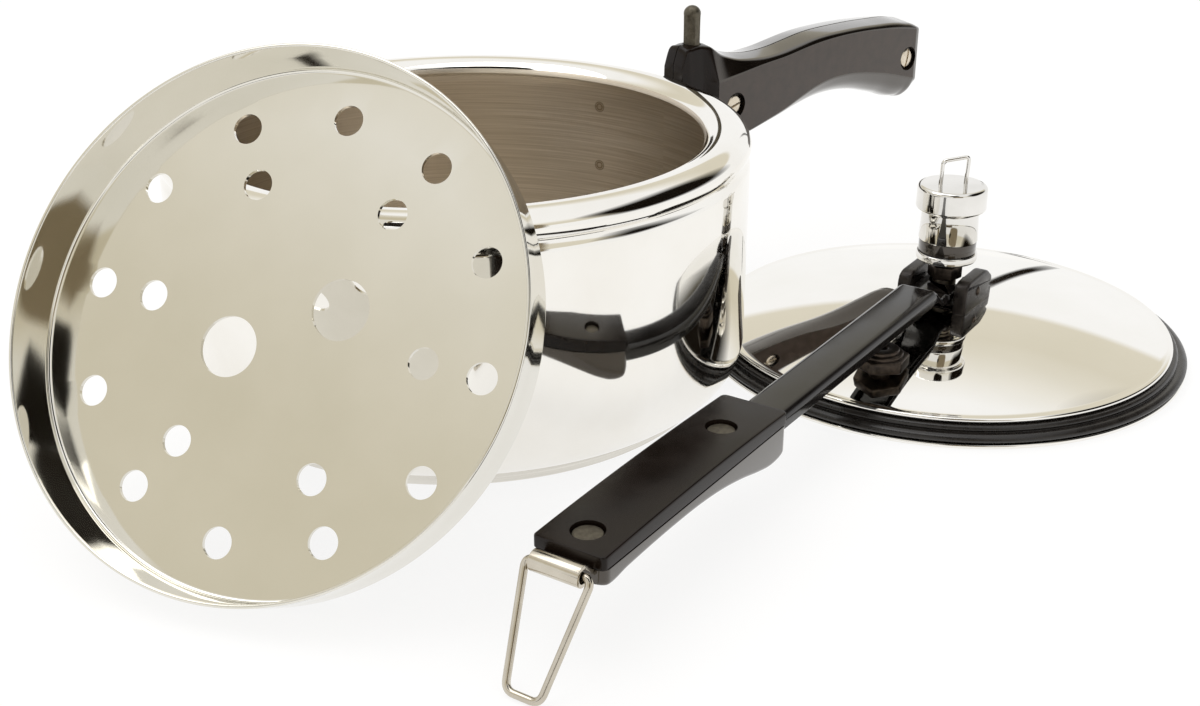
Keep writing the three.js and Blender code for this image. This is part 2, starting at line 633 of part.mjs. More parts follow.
// The pivot bracket: a plate under the bar's eye with a rounded cheek on each side of it.
const pivotHeight = plateHigh + PIN_RISE;
const cheekIn = BAR_WIDTH / 2 + CHEEK_PLAY;
const cheekOut = cheekIn + CHEEK_THICKNESS;

function pivotBracket() {
  const back = CHEEK_SHIFT - CHEEK_LENGTH / 2;
  const front = CHEEK_SHIFT + CHEEK_LENGTH / 2;
  const low = domeTop(CHEEK_LENGTH) - LID_SHEET;
  const slant = (CHEEK_TOP - LID_CROWN) / 2;
  const outline = [
    v2(back, low),
    v2(front, low),
    ...arc(front - CHEEK_ROUND, CHEEK_TOP - CHEEK_ROUND, CHEEK_ROUND, CHEEK_ROUND, 0, 90, 4),
    v2(back + slant, CHEEK_TOP),
    v2(back, CHEEK_TOP - slant),
  ];
  const cheeks = [slab(outline, cheekIn, cheekOut), slab(outline, -cheekOut, -cheekIn)];
  const reach = cheekIn + CHEEK_THICKNESS / 2;
  const plate = block(-BAR_END, BAR_END, -reach, reach, plateLow, plateHigh);
  const pins = alongY(rod(PIN_RADIUS + PIN_BORE_PLAY, -HANDLE_WIDTH, HANDLE_WIDTH)).translate(0, 0, pivotHeight);
  return cut(join(plate, ...cheeks), domeBody(GAP), rod(VENT_RADIUS + GAP, 0, VENT_TOP), pins);
}

// The solid under the dome's upper surface, grown upwards by a clearance.
function domeBody(clearance) {
  const radii = DOME_STATIONS.map((t) => t * LID_NECK_RADIUS).reverse();
  return turned([
    v2(0, 0),
    v2(radii[0], 0),
    ...radii.map((radius) => v2(radius, domeTop(radius) + clearance)),
    v2(0, LID_CROWN + clearance),
  ]);
}

// A stub pin through a cheek into the bar's eye.
function pivotPin(side) {
  const outer = cheekOut - GAP;
  const low = side > 0 ? outer - PIN_LENGTH : -outer;
  return alongY(rod(PIN_RADIUS, low, low + PIN_LENGTH)).translate(0, 0, pivotHeight);
}

function valveBody() {
  const top = valveSeat + VALVE_HEX_HEIGHT;
  const body = join(
    hexPrism(VALVE_FLATS, valveSeat, top),
    rod(VALVE_BOSS_RADIUS, valveSeat, top + VALVE_BOSS_HEIGHT),
    rod(VALVE_STEM_RADIUS, valveUnder - VALVE_NUT_HEIGHT - 1, top),
  );
  return cut(body, rod(VALVE_PLUG_RADIUS + GAP, 0, 2 * LID_CROWN));
}

const valvePlug = () => rod(VALVE_PLUG_RADIUS, valveUnder - VALVE_NUT_HEIGHT, valveSeat + VALVE_HEX_HEIGHT);

const valveNut = () => cut(
  hexPrism(VALVE_NUT_FLATS, valveUnder - VALVE_NUT_HEIGHT, valveUnder),
  rod(VALVE_STEM_RADIUS + GAP, 0, 2 * LID_CROWN),
);

lid.add(piece('lid_dome', lidDome(), POLISHED_STEEL));
lid.add(piece('lid_gasket', lidGasket(), RUBBER));
lid.add(piece('vent_tube', ventTube(), ALLOY));
lid.add(piece('vent_nut', ventNut(), DARK_METAL));
lid.add(piece('vent_lock_nut', lockNut(), ALLOY));
const valve = placed(valveX, valveY, 0);
valve.add(piece('safety_valve_body', valveBody(), DARK_METAL));
valve.add(piece('safety_valve_plug', valvePlug(), ALLOY));
valve.add(piece('safety_valve_nut', valveNut(), DARK_METAL));
lid.add(valve);
const pivot = placed(0, 0, 0, ARM_YAW);
pivot.add(piece('pivot_bracket', pivotBracket(), BLACK_STEEL));
pivot.add(piece('pivot_pin_left', pivotPin(1), DARK_METAL));
pivot.add(piece('pivot_pin_right', pivotPin(-1), DARK_METAL));
lid.add(pivot);
cooker.add(lid);

// Lever arm, in its own axes: the pivot at the origin, +X out to the grip, +Z away from the lid.
const arm = placed(0, 0, pivotHeight, ARM_YAW);
const gripEnd = GRIP_START + GRIP_LENGTH;
const sleeveAt = v2(gripEnd + SLEEVE_OUT, BAR_TOP);
const tongueEnd = gripEnd - SLEEVE_TAIL;
const tongueLow = BAR_TOP - BAR_SHEET;

// The bar: an inverted channel that steps down to a flat eye round the vent tube and ends in a tongue.
function lidBar() {
  const half = BAR_WIDTH / 2;
  const eyeTop = BAR_EYE_THICKNESS / 2;
  const channelEnd = GRIP_START - GAP;
  const body = slab([
    v2(-BAR_END, -eyeTop),
    v2(BAR_STEP_START, -eyeTop),
    v2(BAR_STEP_END, BAR_TOP - BAR_DEPTH),
    v2(channelEnd, BAR_TOP - BAR_DEPTH),
    v2(channelEnd, tongueLow),
    v2(tongueEnd, tongueLow),
    v2(tongueEnd, BAR_TOP),
    v2(BAR_STEP_END, BAR_TOP),
    v2(BAR_STEP_START, eyeTop),
    v2(-BAR_END, eyeTop),
  ], -half, half);
  const hollow = block(BAR_STEP_END + BAR_SHEET, 2 * channelEnd, BAR_SHEET - half, half - BAR_SHEET,
    BAR_TOP - 2 * BAR_DEPTH, tongueLow);
  const eye = rod(eyeRadius, -BAR_TOP, BAR_TOP);
  const bosses = [[eyeRadius + GAP, half], [-half, -eyeRadius - GAP]]
    .map(([low, high]) => alongY(rod(PIN_EYE_RADIUS, low, high)));
  const pins = alongY(rod(PIN_RADIUS + PIN_BORE_PLAY, -HANDLE_WIDTH, HANDLE_WIDTH));
  const rivet = rod(RIVET_RADIUS + GAP, -GRIP_TOP, GRIP_TOP).translate(rivetPlaces[0], 0, 0);
  return cut(join(cut(body, hollow, eye), ...bosses), pins, rivet);
}

const eyeRadius = VENT_SHOULDER + BAR_EYE_PLAY;
const rivetPlaces = [GRIP_START + RIVET_FRONT, GRIP_START + RIVET_REAR];

// Upper half of the grip: a flat strip whose top is slightly arched.
function gripUpper() {
  const half = GRIP_WIDTH / 2;
  const top = arc((GRIP_START + gripEnd) / 2, GRIP_TOP - GRIP_ARCH, GRIP_LENGTH / 2, GRIP_ARCH, 180, 0, 8)
    .map((p) => v2(p.x, Math.max(p.y, GRIP_PARTING + 2)));
  const outline = [v2(GRIP_START, GRIP_PARTING + GAP / 2), ...top, v2(gripEnd, GRIP_PARTING + GAP / 2)].reverse();
  const body = slab(outline, -half, half, GRIP_EDGE);
  const bores = rivetPlaces.flatMap((x) => [
    rod(RIVET_RADIUS + GAP, 0, 2 * GRIP_TOP).translate(x, 0, 0),
    rod(RIVET_HEAD_RADIUS + GAP, GRIP_TOP - GRIP_ARCH - RIVET_RECESS, 2 * GRIP_TOP).translate(x, 0, 0),
  ]);
  return cut(body, ...bores);
}

// Lower half of the grip: deep in front and hollowed behind for the fingers, with a bed for the bar's tongue.
function gripLower() {
  const half = GRIP_WIDTH / 2;
  const belly = GRIP_UNDERSIDE.map(([t, height]) => v2(GRIP_START + t * GRIP_LENGTH, height));
  const high = GRIP_PARTING - GAP / 2;
  const outline = [...belly, v2(gripEnd, high), v2(GRIP_START, high)];
  const body = slab(outline, -half, half, GRIP_EDGE);
  const bed = block(GRIP_START - 1, gripEnd + 1, -BAR_WIDTH / 2 - GAP, BAR_WIDTH / 2 + GAP, tongueLow - GAP, GRIP_TOP);
  const bores = rivetPlaces.flatMap((x) => [
    rod(RIVET_RADIUS + GAP, -GRIP_TOP, 2 * GRIP_TOP).translate(x, 0, 0),
    rod(RIVET_HEAD_RADIUS + GAP, -GRIP_TOP, rivetFoot(x) + RIVET_HEAD_HEIGHT + GAP).translate(x, 0, 0),
  ]);
  return cut(body, bed, ...bores);
}

// Underside of the lower half at a place along the grip, where the rivet's other head sits flush.
function rivetFoot(x) {
  const under = follow(GRIP_UNDERSIDE, THREE.LinearInterpolant);
  return under((x - GRIP_START) / GRIP_LENGTH) + RIVET_HEAD_HEIGHT / 2;
}

function gripRivet(x) {
  const low = rivetFoot(x);
  const seat = GRIP_TOP - GRIP_ARCH - RIVET_RECESS + GAP;
  return turned([
    v2(0, low),
    v2(RIVET_HEAD_RADIUS, low),
    v2(RIVET_HEAD_RADIUS, low + RIVET_HEAD_HEIGHT),
    v2(RIVET_RADIUS, low + RIVET_HEAD_HEIGHT),
    v2(RIVET_RADIUS, seat),
    v2(RIVET_HEAD_RADIUS, seat),
    v2(RIVET_HEAD_RADIUS, seat + RIVET_HEAD_HEIGHT / 2),
    v2(RIVET_HEAD_RADIUS - RIVET_HEAD_HEIGHT / 2, seat + RIVET_HEAD_HEIGHT),
    v2(0, seat + RIVET_HEAD_HEIGHT),
  ], SMALL_ROUND).translate(x, 0, 0);
}

// The sleeve: a steel strip riveted in the grip whose end is curled round the loop's wire.
function loopSleeve() {
  const half = SLEEVE_LENGTH / 2;
  const bore = WIRE_RADIUS + SLEEVE_PLAY;
  const curl = alongY(rod(SLEEVE_RADIUS, -half, half)).translate(sleeveAt.x, 0, sleeveAt.y);
  const tail = block(tongueEnd + GAP, sleeveAt.x, -BAR_WIDTH / 2, BAR_WIDTH / 2, tongueLow, BAR_TOP);
  const hole = alongY(rod(bore, -HANDLE_WIDTH, HANDLE_WIDTH)).translate(sleeveAt.x, 0, sleeveAt.y);
  const rivet = rod(RIVET_RADIUS + GAP, -GRIP_TOP, GRIP_TOP).translate(rivetPlaces[1], 0, 0);
  return cut(join(curl, tail), hole, rivet);
}

// The loop: one wire whose two ends meet inside the sleeve, narrowing towards its tip.
function latchLoop() {
  const wide = SLEEVE_LENGTH / 2 + LOOP_BEND;
  const tip = LOOP_TIP_WIDTH / 2;
  const corners = [[0, LOOP_END_GAP / 2], [0, wide], [LOOP_LENGTH, tip], [LOOP_LENGTH, -tip], [0, -wide],
    [0, -LOOP_END_GAP / 2]];
  const points = corners.map(([x, y]) => new THREE.Vector3(x, y, 0));
  return wire(points, LOOP_BEND - GAP, WIRE_RADIUS, 56);
}

arm.add(piece('lid_bar', lidBar(), BLACK_STEEL));
arm.add(piece('grip_upper', gripUpper(), BAKELITE));
arm.add(piece('grip_lower', gripLower(), BAKELITE));
arm.add(piece('grip_rivet_front', gripRivet(rivetPlaces[0]), DARK_METAL));
arm.add(piece('grip_rivet_rear', gripRivet(rivetPlaces[1]), DARK_METAL));
arm.add(piece('loop_sleeve', loopSleeve(), CHROME));
// At rest the loop leans down until its tip lies on the floor.
const loopDrop = Math.asin((pivotHeight + sleeveAt.y - WIRE_RADIUS) / LOOP_LENGTH);
const loop = placed(sleeveAt.x, 0, sleeveAt.y, 0, loopDrop);
loop.add(piece('latch_loop', latchLoop(), NICKEL));
arm.add(loop);
lid.add(arm);

// Vent weight, turned about the vent tube: ring, band, body with a flared cap, and a wire bail.
const bandLow = WEIGHT_BOTTOM + WEIGHT_RING_HEIGHT + GAP;
const bodyLow = bandLow + WEIGHT_BAND_HEIGHT + GAP;
const capLow = bodyLow + WEIGHT_BODY_HEIGHT;
const capTop = capLow + WEIGHT_CAP_HEIGHT;

function weightBody() {
  return turned([
    v2(WEIGHT_BORE, WEIGHT_BOTTOM),
    v2(WEIGHT_SPIGOT_RADIUS, WEIGHT_BOTTOM),
    v2(WEIGHT_SPIGOT_RADIUS, bodyLow),
    v2(WEIGHT_BODY_RADIUS + WEIGHT_TAPER, bodyLow),
    v2(WEIGHT_BODY_RADIUS, capLow),
    v2(WEIGHT_CAP_FOOT, capLow),
    v2(WEIGHT_CAP_FOOT + WEIGHT_TAPER, capLow + WEIGHT_CAP_HEIGHT * WEIGHT_CAP_FLARE_LOW),
    v2(WEIGHT_CAP_RADIUS, capLow + WEIGHT_CAP_HEIGHT * WEIGHT_CAP_FLARE_HIGH),
    v2(WEIGHT_CAP_RADIUS, capTop - WEIGHT_EDGE),
    v2(WEIGHT_CAP_RADIUS - WEIGHT_EDGE, capTop),
    v2(0, capTop),
    v2(0, VENT_TOP + GAP),
    v2(WEIGHT_BORE, VENT_TOP + GAP),
  ].reverse(), ROUND / 2);
}

const weightRing = () => tube(WEIGHT_SPIGOT_RADIUS + GAP, WEIGHT_RING_RADIUS, WEIGHT_BOTTOM,
  WEIGHT_BOTTOM + WEIGHT_RING_HEIGHT, ROUND / 2);
const weightBand = () => tube(WEIGHT_SPIGOT_RADIUS + GAP, WEIGHT_BAND_RADIUS, bandLow, bandLow + WEIGHT_BAND_HEIGHT,
  ROUND / 2);

function weightBail() {
  const half = BAIL_WIDTH / 2;
  const low = capTop - BAIL_SOCKET;
  const high = capTop + BAIL_HEIGHT;
  const points = [[-half, low], [-half, high], [half, high], [half, low]].map(([x, z]) => new THREE.Vector3(x, 0, z));
  return wire(points, 2 * BAIL_WIRE, BAIL_WIRE, 24);
}

function bailSockets() {
  return [-1, 1].map((side) => rod(BAIL_WIRE + GAP, capTop - BAIL_SOCKET - GAP, 2 * capTop, WIRE_SIDES)
    .translate(side * BAIL_WIDTH / 2, 0, 0));
}

const weight = placed(0, 0, 0, BAIL_YAW);
weight.add(piece('weight_body', cut(weightBody(), ...bailSockets()), CHROME));
weight.add(piece('weight_ring', weightRing(), CHROME));
weight.add(piece('weight_band', weightBand(), BAKELITE));
weight.add(piece('weight_bail', weightBail(), NICKEL));
lid.add(weight);

export default cooker;
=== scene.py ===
"""Stovetop pressure cooker: polished steel pot with a black handle, its lid with lever arm and vent weight lying
beside it, and the perforated steamer tray leaning against the rim. Sizes below are in millimetres."""
import math

import bmesh
import bpy
import numpy as np
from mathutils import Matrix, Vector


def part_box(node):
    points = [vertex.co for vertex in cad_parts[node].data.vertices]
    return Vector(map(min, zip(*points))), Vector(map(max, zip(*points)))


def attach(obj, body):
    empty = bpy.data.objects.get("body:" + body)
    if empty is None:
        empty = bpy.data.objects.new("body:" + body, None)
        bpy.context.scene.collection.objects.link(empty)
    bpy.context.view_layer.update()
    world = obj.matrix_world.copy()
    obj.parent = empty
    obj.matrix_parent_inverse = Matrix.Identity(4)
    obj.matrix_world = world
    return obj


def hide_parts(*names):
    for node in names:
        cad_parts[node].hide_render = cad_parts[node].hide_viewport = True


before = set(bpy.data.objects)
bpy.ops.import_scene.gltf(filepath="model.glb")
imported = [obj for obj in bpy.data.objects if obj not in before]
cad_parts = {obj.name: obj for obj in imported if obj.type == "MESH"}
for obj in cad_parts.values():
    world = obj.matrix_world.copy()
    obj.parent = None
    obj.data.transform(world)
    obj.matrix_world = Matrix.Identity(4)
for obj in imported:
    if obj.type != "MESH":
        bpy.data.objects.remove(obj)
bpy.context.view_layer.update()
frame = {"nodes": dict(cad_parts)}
scene = bpy.context.scene
scene.view_settings.view_transform = "Standard"

# Camera: it stands 516 mm in front of the pot and 239 mm high, looks down by 24 degrees, and its focal length is
# 1579.75 pixels in a frame 1200 pixels wide.
frame_pixels, focal_pixels, sensor_mm = 1200, 1579.75, 36
look_down, heading = 24.36, -42
camera = bpy.data.objects.new("camera", bpy.data.cameras.new("camera"))
camera.data.sensor_width = sensor_mm
camera.data.lens = sensor_mm * focal_pixels / frame_pixels
camera.data.clip_start = 0.01
camera.location = (-0.3082, -0.4135, 0.23873)
camera.rotation_euler = (math.radians(90 - look_down), 0, math.radians(heading))
scene.collection.objects.link(camera)
scene.camera = camera


# Studio: a white sweep on the floor and a tent of light: white walls, a beige ceiling round a white light panel.
# The floor is white to the eye and in reflections, and keeps the soft shadow of the cooker.
def srgb(code):
    """Linear RGBA of an sRGB hex colour."""
    value = np.array([int(code[i:i + 2], 16) for i in (1, 3, 5)]) / 255
    return (*np.where(value <= 0.04045, value / 12.92, ((value + 0.055) / 1.055) ** 2.4), 1.0)


def add(tree, kind, inputs=None, **settings):
    """A new node with its settings; an input is a value or the socket that feeds it."""
    new = tree.nodes.new(kind)
    for key, value in settings.items():
        setattr(new, key, value)
    for key, value in (inputs or {}).items():
        if isinstance(value, bpy.types.NodeSocket):
            tree.links.new(value, new.inputs[key])
        else:
            new.inputs[key].default_value = value
    return new


def ramp(tree, factor, *stops):
    """A colour ramp through (place, hex colour) stops, driven by a factor socket."""
    new = add(tree, "ShaderNodeValToRGB", {"Fac": factor})
    for _ in stops[2:]:
        new.color_ramp.elements.new(0.5)
    for element, (place, colour) in zip(new.color_ramp.elements, stops):
        element.position = place
        element.color = srgb(colour)
    return new.outputs["Color"]


scene.world = bpy.data.worlds.new("light_tent")
scene.world.use_nodes = True
sky = scene.world.node_tree
direction = add(sky, "ShaderNodeTexCoord").outputs["Generated"]
height = add(sky, "ShaderNodeSeparateXYZ", {"Vector": direction}).outputs["Z"]
tent = ramp(sky, height, (0.0, "#ffffff"), (0.385, "#ffffff"), (0.41, "#e2dccb"), (0.54, "#dfd9c8"),
            (0.60, "#e6e1d3"), (0.67, "#f3f0e8"), (0.74, "#ffffff"))
sky.links.new(tent, sky.nodes["Background"].inputs["Color"])
sky.nodes["Background"].inputs["Strength"].default_value = 1.0

panel = bpy.data.objects.new("light_panel", bpy.data.lights.new("light_panel", "AREA"))
panel.data.size = 1.2
panel.data.energy = 7
panel.location = (-0.35, 0.25, 1.5)
panel.rotation_euler = (math.radians(-8), math.radians(-13), 0)
scene.collection.objects.link(panel)

floor_mesh = bpy.data.meshes.new("floor")
floor_reach, floor_level = 6, -0.0003
square_corners = ((-1, -1), (1, -1), (1, 1), (-1, 1))
floor_mesh.from_pydata([(floor_reach * u, floor_reach * v, floor_level) for u, v in square_corners], [],
                       [(0, 1, 2, 3)])
floor = bpy.data.objects.new("floor", floor_mesh)
scene.collection.objects.link(floor)
white_sweep = bpy.data.materials.new("white_sweep")
white_sweep.use_nodes = True
sweep = white_sweep.node_tree
sweep.nodes.clear()
path = add(sweep, "ShaderNodeLightPath")
seen = add(sweep, "ShaderNodeMath", {0: path.outputs["Is Camera Ray"], 1: path.outputs["Is Glossy Ray"]},
           operation="MAXIMUM")
seen = add(sweep, "ShaderNodeMath", {0: seen.outputs[0], 1: path.outputs["Is Transmission Ray"]},
           operation="MAXIMUM")
glow = add(sweep, "ShaderNodeEmission", {"Color": srgb("#ffffff"), "Strength": 0.84})
lit = add(sweep, "ShaderNodeBsdfDiffuse", {"Color": srgb("#727170")})
bright = add(sweep, "ShaderNodeAddShader", {0: glow.outputs[0], 1: lit.outputs[0]})
plain = add(sweep, "ShaderNodeBsdfDiffuse", {"Color": srgb("#e9e6df")})
choice = add(sweep, "ShaderNodeMixShader", {"Fac": seen.outputs[0], 1: plain.outputs[0], 2: bright.outputs[0]})
add(sweep, "ShaderNodeOutputMaterial", {"Surface": choice.outputs[0]})
floor_mesh.materials.append(white_sweep)


# Flags: felt cards outside the picture, which the polished steel shows as dark bands. Each is given by its azimuth,
# elevation and distance from a point on the tray, its width, height and tilt, where its edge starts to fade, and its
# colour; angles are in degrees and lengths in metres.
flags = (
    (248, 57, 1.0, 0.50, 0.54, 0, 0.8, "#15110d"),
    (251, 24, 0.95, 0.62, 0.60, 0, 0.7, "#8d826f"),
    (247, 23, 0.52, 0.07, 0.09, 0, 0.8, "#17130f"),
    (222, 6, 1.2, 0.75, 0.17, 0, 0.6, "#5d5344"),
    (193, 4, 1.2, 0.62, 0.15, 0, 0.6, "#241e19"),
    (205, 71, 1.0, 0.60, 0.44, 0, 0.7, "#1b1611"),
    (-33, 33, 1.3, 1.85, 1.0, 0, 0.35, "#15110d"),
    (22.7, 5.6, 1.4, 0.03, 0.48, 12.4, 0.2, "#1d1813"))
tray_point = np.array([-0.10, -0.05, 0.06])
for number, (azimuth, elevation, away, broad, tall, tilt, edge, colour) in enumerate(flags):
    a, e, roll = math.radians(azimuth), math.radians(elevation), math.radians(tilt)
    outward = np.array([math.cos(e) * math.cos(a), math.cos(e) * math.sin(a), math.sin(e)])
    level = np.array([-math.sin(a), math.cos(a), 0])
    upright = np.array([-math.sin(e) * math.cos(a), -math.sin(e) * math.sin(a), math.cos(e)])
    across_card = broad / 2 * (level * math.cos(roll) - upright * math.sin(roll))
    up_card = tall / 2 * (upright * math.cos(roll) + level * math.sin(roll))
    card_mesh = bpy.data.meshes.new(f"flag_{number}")
    card_mesh.from_pydata([tuple(tray_point + away * outward + u * across_card + v * up_card)
                           for u, v in square_corners], [], [(0, 1, 2, 3)])
    card_mesh.uv_layers.new(name="card").data.foreach_set("uv", np.ravel(square_corners).astype(float))
    felt = bpy.data.materials.new(f"felt_{number}")
    felt.use_nodes = True
    cloth = felt.node_tree
    cloth.nodes.clear()
    place = add(cloth, "ShaderNodeTexCoord").outputs["UV"]
    square = add(cloth, "ShaderNodeVectorMath", {0: place, 1: place}, operation="MULTIPLY").outputs["Vector"]
    away_from_middle = add(cloth, "ShaderNodeVectorMath", {0: square}, operation="LENGTH").outputs["Value"]
    fade = add(cloth, "ShaderNodeMapRange", {"Value": away_from_middle, "From Min": 1.0, "From Max": edge})
    clear = add(cloth, "ShaderNodeBsdfTransparent")
    nap = add(cloth, "ShaderNodeBsdfDiffuse", {"Color": srgb(colour)})
    soft = add(cloth, "ShaderNodeMixShader", {"Fac": fade.outputs[0], 1: clear.outputs[0], 2: nap.outputs[0]})
    add(cloth, "ShaderNodeOutputMaterial", {"Surface": soft.outputs[0]})
    card_mesh.materials.append(felt)
    card = bpy.data.objects.new(f"flag_{number}", card_mesh)
    card.visible_camera = card.visible_diffuse = card.visible_shadow = False
    scene.collection.objects.link(card)


# Pot shell: one deep-drawn bowl of stainless steel with its rim rolled out and in over a crease.
# Outside it is buffed to a mirror; inside it is brushed round and round to a brown-grey satin.
def arc(cx, cy, rx, ry, start, end, count):
    """Points of an ellipse about (cx, cy) between two angles in degrees."""
    turn = np.radians(np.linspace(start, end, count))
    return np.stack([cx + rx * np.cos(turn), cy + ry * np.sin(turn)], -1)


crease = math.radians(38)


def surface(name, grid, along=False, caps=False, at=None):
    """Mesh object from a grid of points (rows, columns, 3): quads between neighbours, with the last column joined
    to the first, the last row to the first where along is set, and flat end faces where caps is set. at is a
    turn and an origin for the points. Coincident points merge, and UV runs in metres over the grid."""
    points = np.asarray(grid, float)
    if at is not None:
        points = points @ at[0].T + at[1]
    points = points * 0.001
    rows, columns = points.shape[:2]
    i, j = np.meshgrid(np.arange(rows if along else rows - 1), np.arange(columns), indexing="ij")
    corner_rows = np.stack([i, i, i + 1, i + 1], -1).reshape(-1, 4)
    corner_columns = np.stack([j, j + 1, j + 1, j], -1).reshape(-1, 4)
    faces = ((corner_rows % rows) * columns + corner_columns % columns).tolist()
    loop = np.concatenate([points, points[:, :1]], 1)
    round_u = np.concatenate([[0], np.cumsum(np.linalg.norm(np.diff(loop, axis=1), axis=2).max(0))])
    steps = np.diff(points, axis=0, append=points[:1])
    length_v = np.concatenate([[0], np.cumsum(np.linalg.norm(steps, axis=2).max(1))])
    uv = np.stack([round_u[corner_columns], length_v[corner_rows]], -1).reshape(-1, 2)
    if caps:
        faces += [list(range(columns))[::-1], list(range((rows - 1) * columns, rows * columns))]
        uv = np.concatenate([uv, points[[0, -1]].reshape(-1, 3)[:, :2]])
    mesh = bpy.data.meshes.new(name)
    mesh.from_pydata(points.reshape(-1, 3).tolist(), [], faces)
    mesh.uv_layers.new(name="surface").data.foreach_set("uv", uv.ravel())
    work = bmesh.new()
    work.from_mesh(mesh)
    bmesh.ops.remove_doubles(work, verts=work.verts, dist=2e-6)
    bmesh.ops.recalc_face_normals(work, faces=work.faces)
    work.to_mesh(mesh)
    work.free()
    mesh.shade_smooth()
    mesh.set_sharp_from_angle(angle=crease)
    piece = bpy.data.objects.new(name, mesh)
    scene.collection.objects.link(piece)
    return piece


def turned(name, profile, sides=192, at=None):
    """Surface of revolution: each (radius, height) of the profile goes once round +Z. A profile that starts on the
    axis is open and ends there in poles; any other closes on itself."""
    radius, rise = np.asarray(profile, float).T
    turn = np.linspace(0, 2 * np.pi, sides, endpoint=False)
    grid = np.stack(np.broadcast_arrays(
        radius[:, None] * np.cos(turn), radius[:, None] * np.sin(turn), rise[:, None]), -1)
    return surface(name, grid, along=radius[0] > 0, at=at)


def finish(name, colours, metallic, roughness, cell, source="Object", relief=0.0, **sockets):
    """Principled material whose colour and roughness vary between two values over a noise of the given cell in
    millimetres, read from Object coordinates or the surface's UV; relief is the height of its bump."""
    new = bpy.data.materials.new(name)
    new.use_nodes = True
    tree = new.node_tree
    shader = tree.nodes["Principled BSDF"]
    shader.inputs["Metallic"].default_value = metallic
    for key, value in sockets.items():
        shader.inputs[key.replace("_", " ")].default_value = value
    coords = add(tree, "ShaderNodeTexCoord").outputs[source]
    scaled = add(tree, "ShaderNodeMapping", {"Vector": coords, "Scale": [1000 / size for size in cell]})
    noise = add(tree, "ShaderNodeTexNoise", {"Vector": scaled.outputs[0], "Scale": 1.0, "Detail": 4.0})
    noise = noise.outputs["Fac"]
    tree.links.new(ramp(tree, noise, (0.3, colours[0]), (0.7, colours[1])), shader.inputs["Base Color"])
    rough = add(tree, "ShaderNodeMapRange", {"Value": noise, "From Min": 0.3, "From Max": 0.7,
                                             "To Min": roughness[0], "To Max": roughness[1]})
    tree.links.new(rough.outputs[0], shader.inputs["Roughness"])
    if relief:
        bump = add(tree, "ShaderNodeBump", {"Height": noise, "Strength": 1.0, "Distance": relief * 0.001})
        tree.links.new(bump.outputs[0], shader.inputs["Normal"])
    return new


def dress(piece, body, slot, nodes, *materials):
    """Gives a piece its materials and body, and hides the CAD nodes that it stands for; slot is not used."""
    piece.data.materials.clear()
    for material in materials:
        piece.data.materials.append(material)
    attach(piece, body)
    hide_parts(*nodes)


def face_arrays(piece):
    """Centre and normal of each face, as two arrays."""
    arrays = np.empty((2, 3 * len(piece.data.polygons)))
    piece.data.polygons.foreach_get("center", arrays[0])
    piece.data.polygons.foreach_get("normal", arrays[1])
    return arrays.reshape(2, -1, 3)


# Stainless steel buffed on a mop: a mirror with a faint haze that varies over a few centimetres.
mirror_steel = finish("mirror_polished_stainless", ("#efece5", "#f5f3ee"), 1.0, (0.03, 0.065), (30, 30, 30))
# Stainless steel brushed round the inside: streaks some 45 mm long and half a millimetre wide, with the rings of two
# spot welds, where the bracket holds, 5 mm across.
brushed_steel = finish("brushed_stainless", ("#cdc2b1", "#e6dccd"), 1.0, (0.32, 0.44), (45, 0.6, 1), "UV", 0.004,
                       Anisotropic=0.75, Anisotropic_Rotation=0.25)
weld_x, weld_y, weld_heights, weld_radius = 0.0914, 0.0306, (0.073, 0.0495), 0.0024
welds = brushed_steel.node_tree
round_axis = add(welds, "ShaderNodeTangent", direction_type="RADIAL", axis="Z")
welds.links.new(round_axis.outputs[0], welds.nodes["Principled BSDF"].inputs["Tangent"])
spot = add(welds, "ShaderNodeTexCoord").outputs["Object"]
near = [add(welds, "ShaderNodeVectorMath", {0: spot, 1: (weld_x, weld_y, weld_z)}, operation="DISTANCE")
        .outputs["Value"] for weld_z in weld_heights]
near = add(welds, "ShaderNodeMath", {0: near[0], 1: near[1]}, operation="MINIMUM").outputs[0]
ring = ramp(welds, add(welds, "ShaderNodeMapRange", {"Value": near, "From Max": weld_radius}).outputs[0],
            (0.30, "#ece7e0"), (0.5, "#a2998d"), (0.64, "#f4f0ea"), (0.76, "#b4aca0"), (0.92, "#ffffff"))
skin = welds.nodes["Principled BSDF"].inputs["Base Color"]
stained = add(welds, "ShaderNodeVectorMath", {0: skin.links[0].from_socket, 1: ring}, operation="MULTIPLY")
welds.links.new(stained.outputs["Vector"], skin)
shell_line = np.concatenate([
    [(0, 4.3)], np.stack([np.linspace(4, 80, 20), np.full(20, 4.3)], -1),
    arc(84, 18.3, 14, 14, -90, 0, 24), [(98, 40), (98, 60), (98, 79.2), (97.6, 80.6), (96.7, 81.7)],
    arc(90.4, 86, 7.9, 5.5, -38, 172, 60), arc(90.4, 86, 6.3, 3.9, 172, -24, 40),
    [(95.0, 82.6), (95.5, 81.4), (96.4, 78.9), (96.4, 60), (96.4, 40)],
    arc(84, 18.3, 12.4, 12.4, 0, -90, 20), np.stack([np.linspace(80, 4, 20), np.full(20, 5.9)], -1), [(0, 5.9)]])
pot_shell = turned("pot_shell_skin", shell_line, 256)
dress(pot_shell, "pot", "pot_steel", ["pot_shell"], mirror_steel, brushed_steel)
brushing_top, corner_top = 0.0885, 0.03
centres, normals = face_arrays(pot_shell)
inward = (centres[:, :2] * normals[:, :2]).sum(1) < 0
upward = (normals[:, 2] > 0) & (centres[:, 2] < corner_top)
inside = (centres[:, 2] < brushing_top) & (inward | upward)
pot_shell.data.polygons.foreach_set("material_index", inside.astype(np.int32))

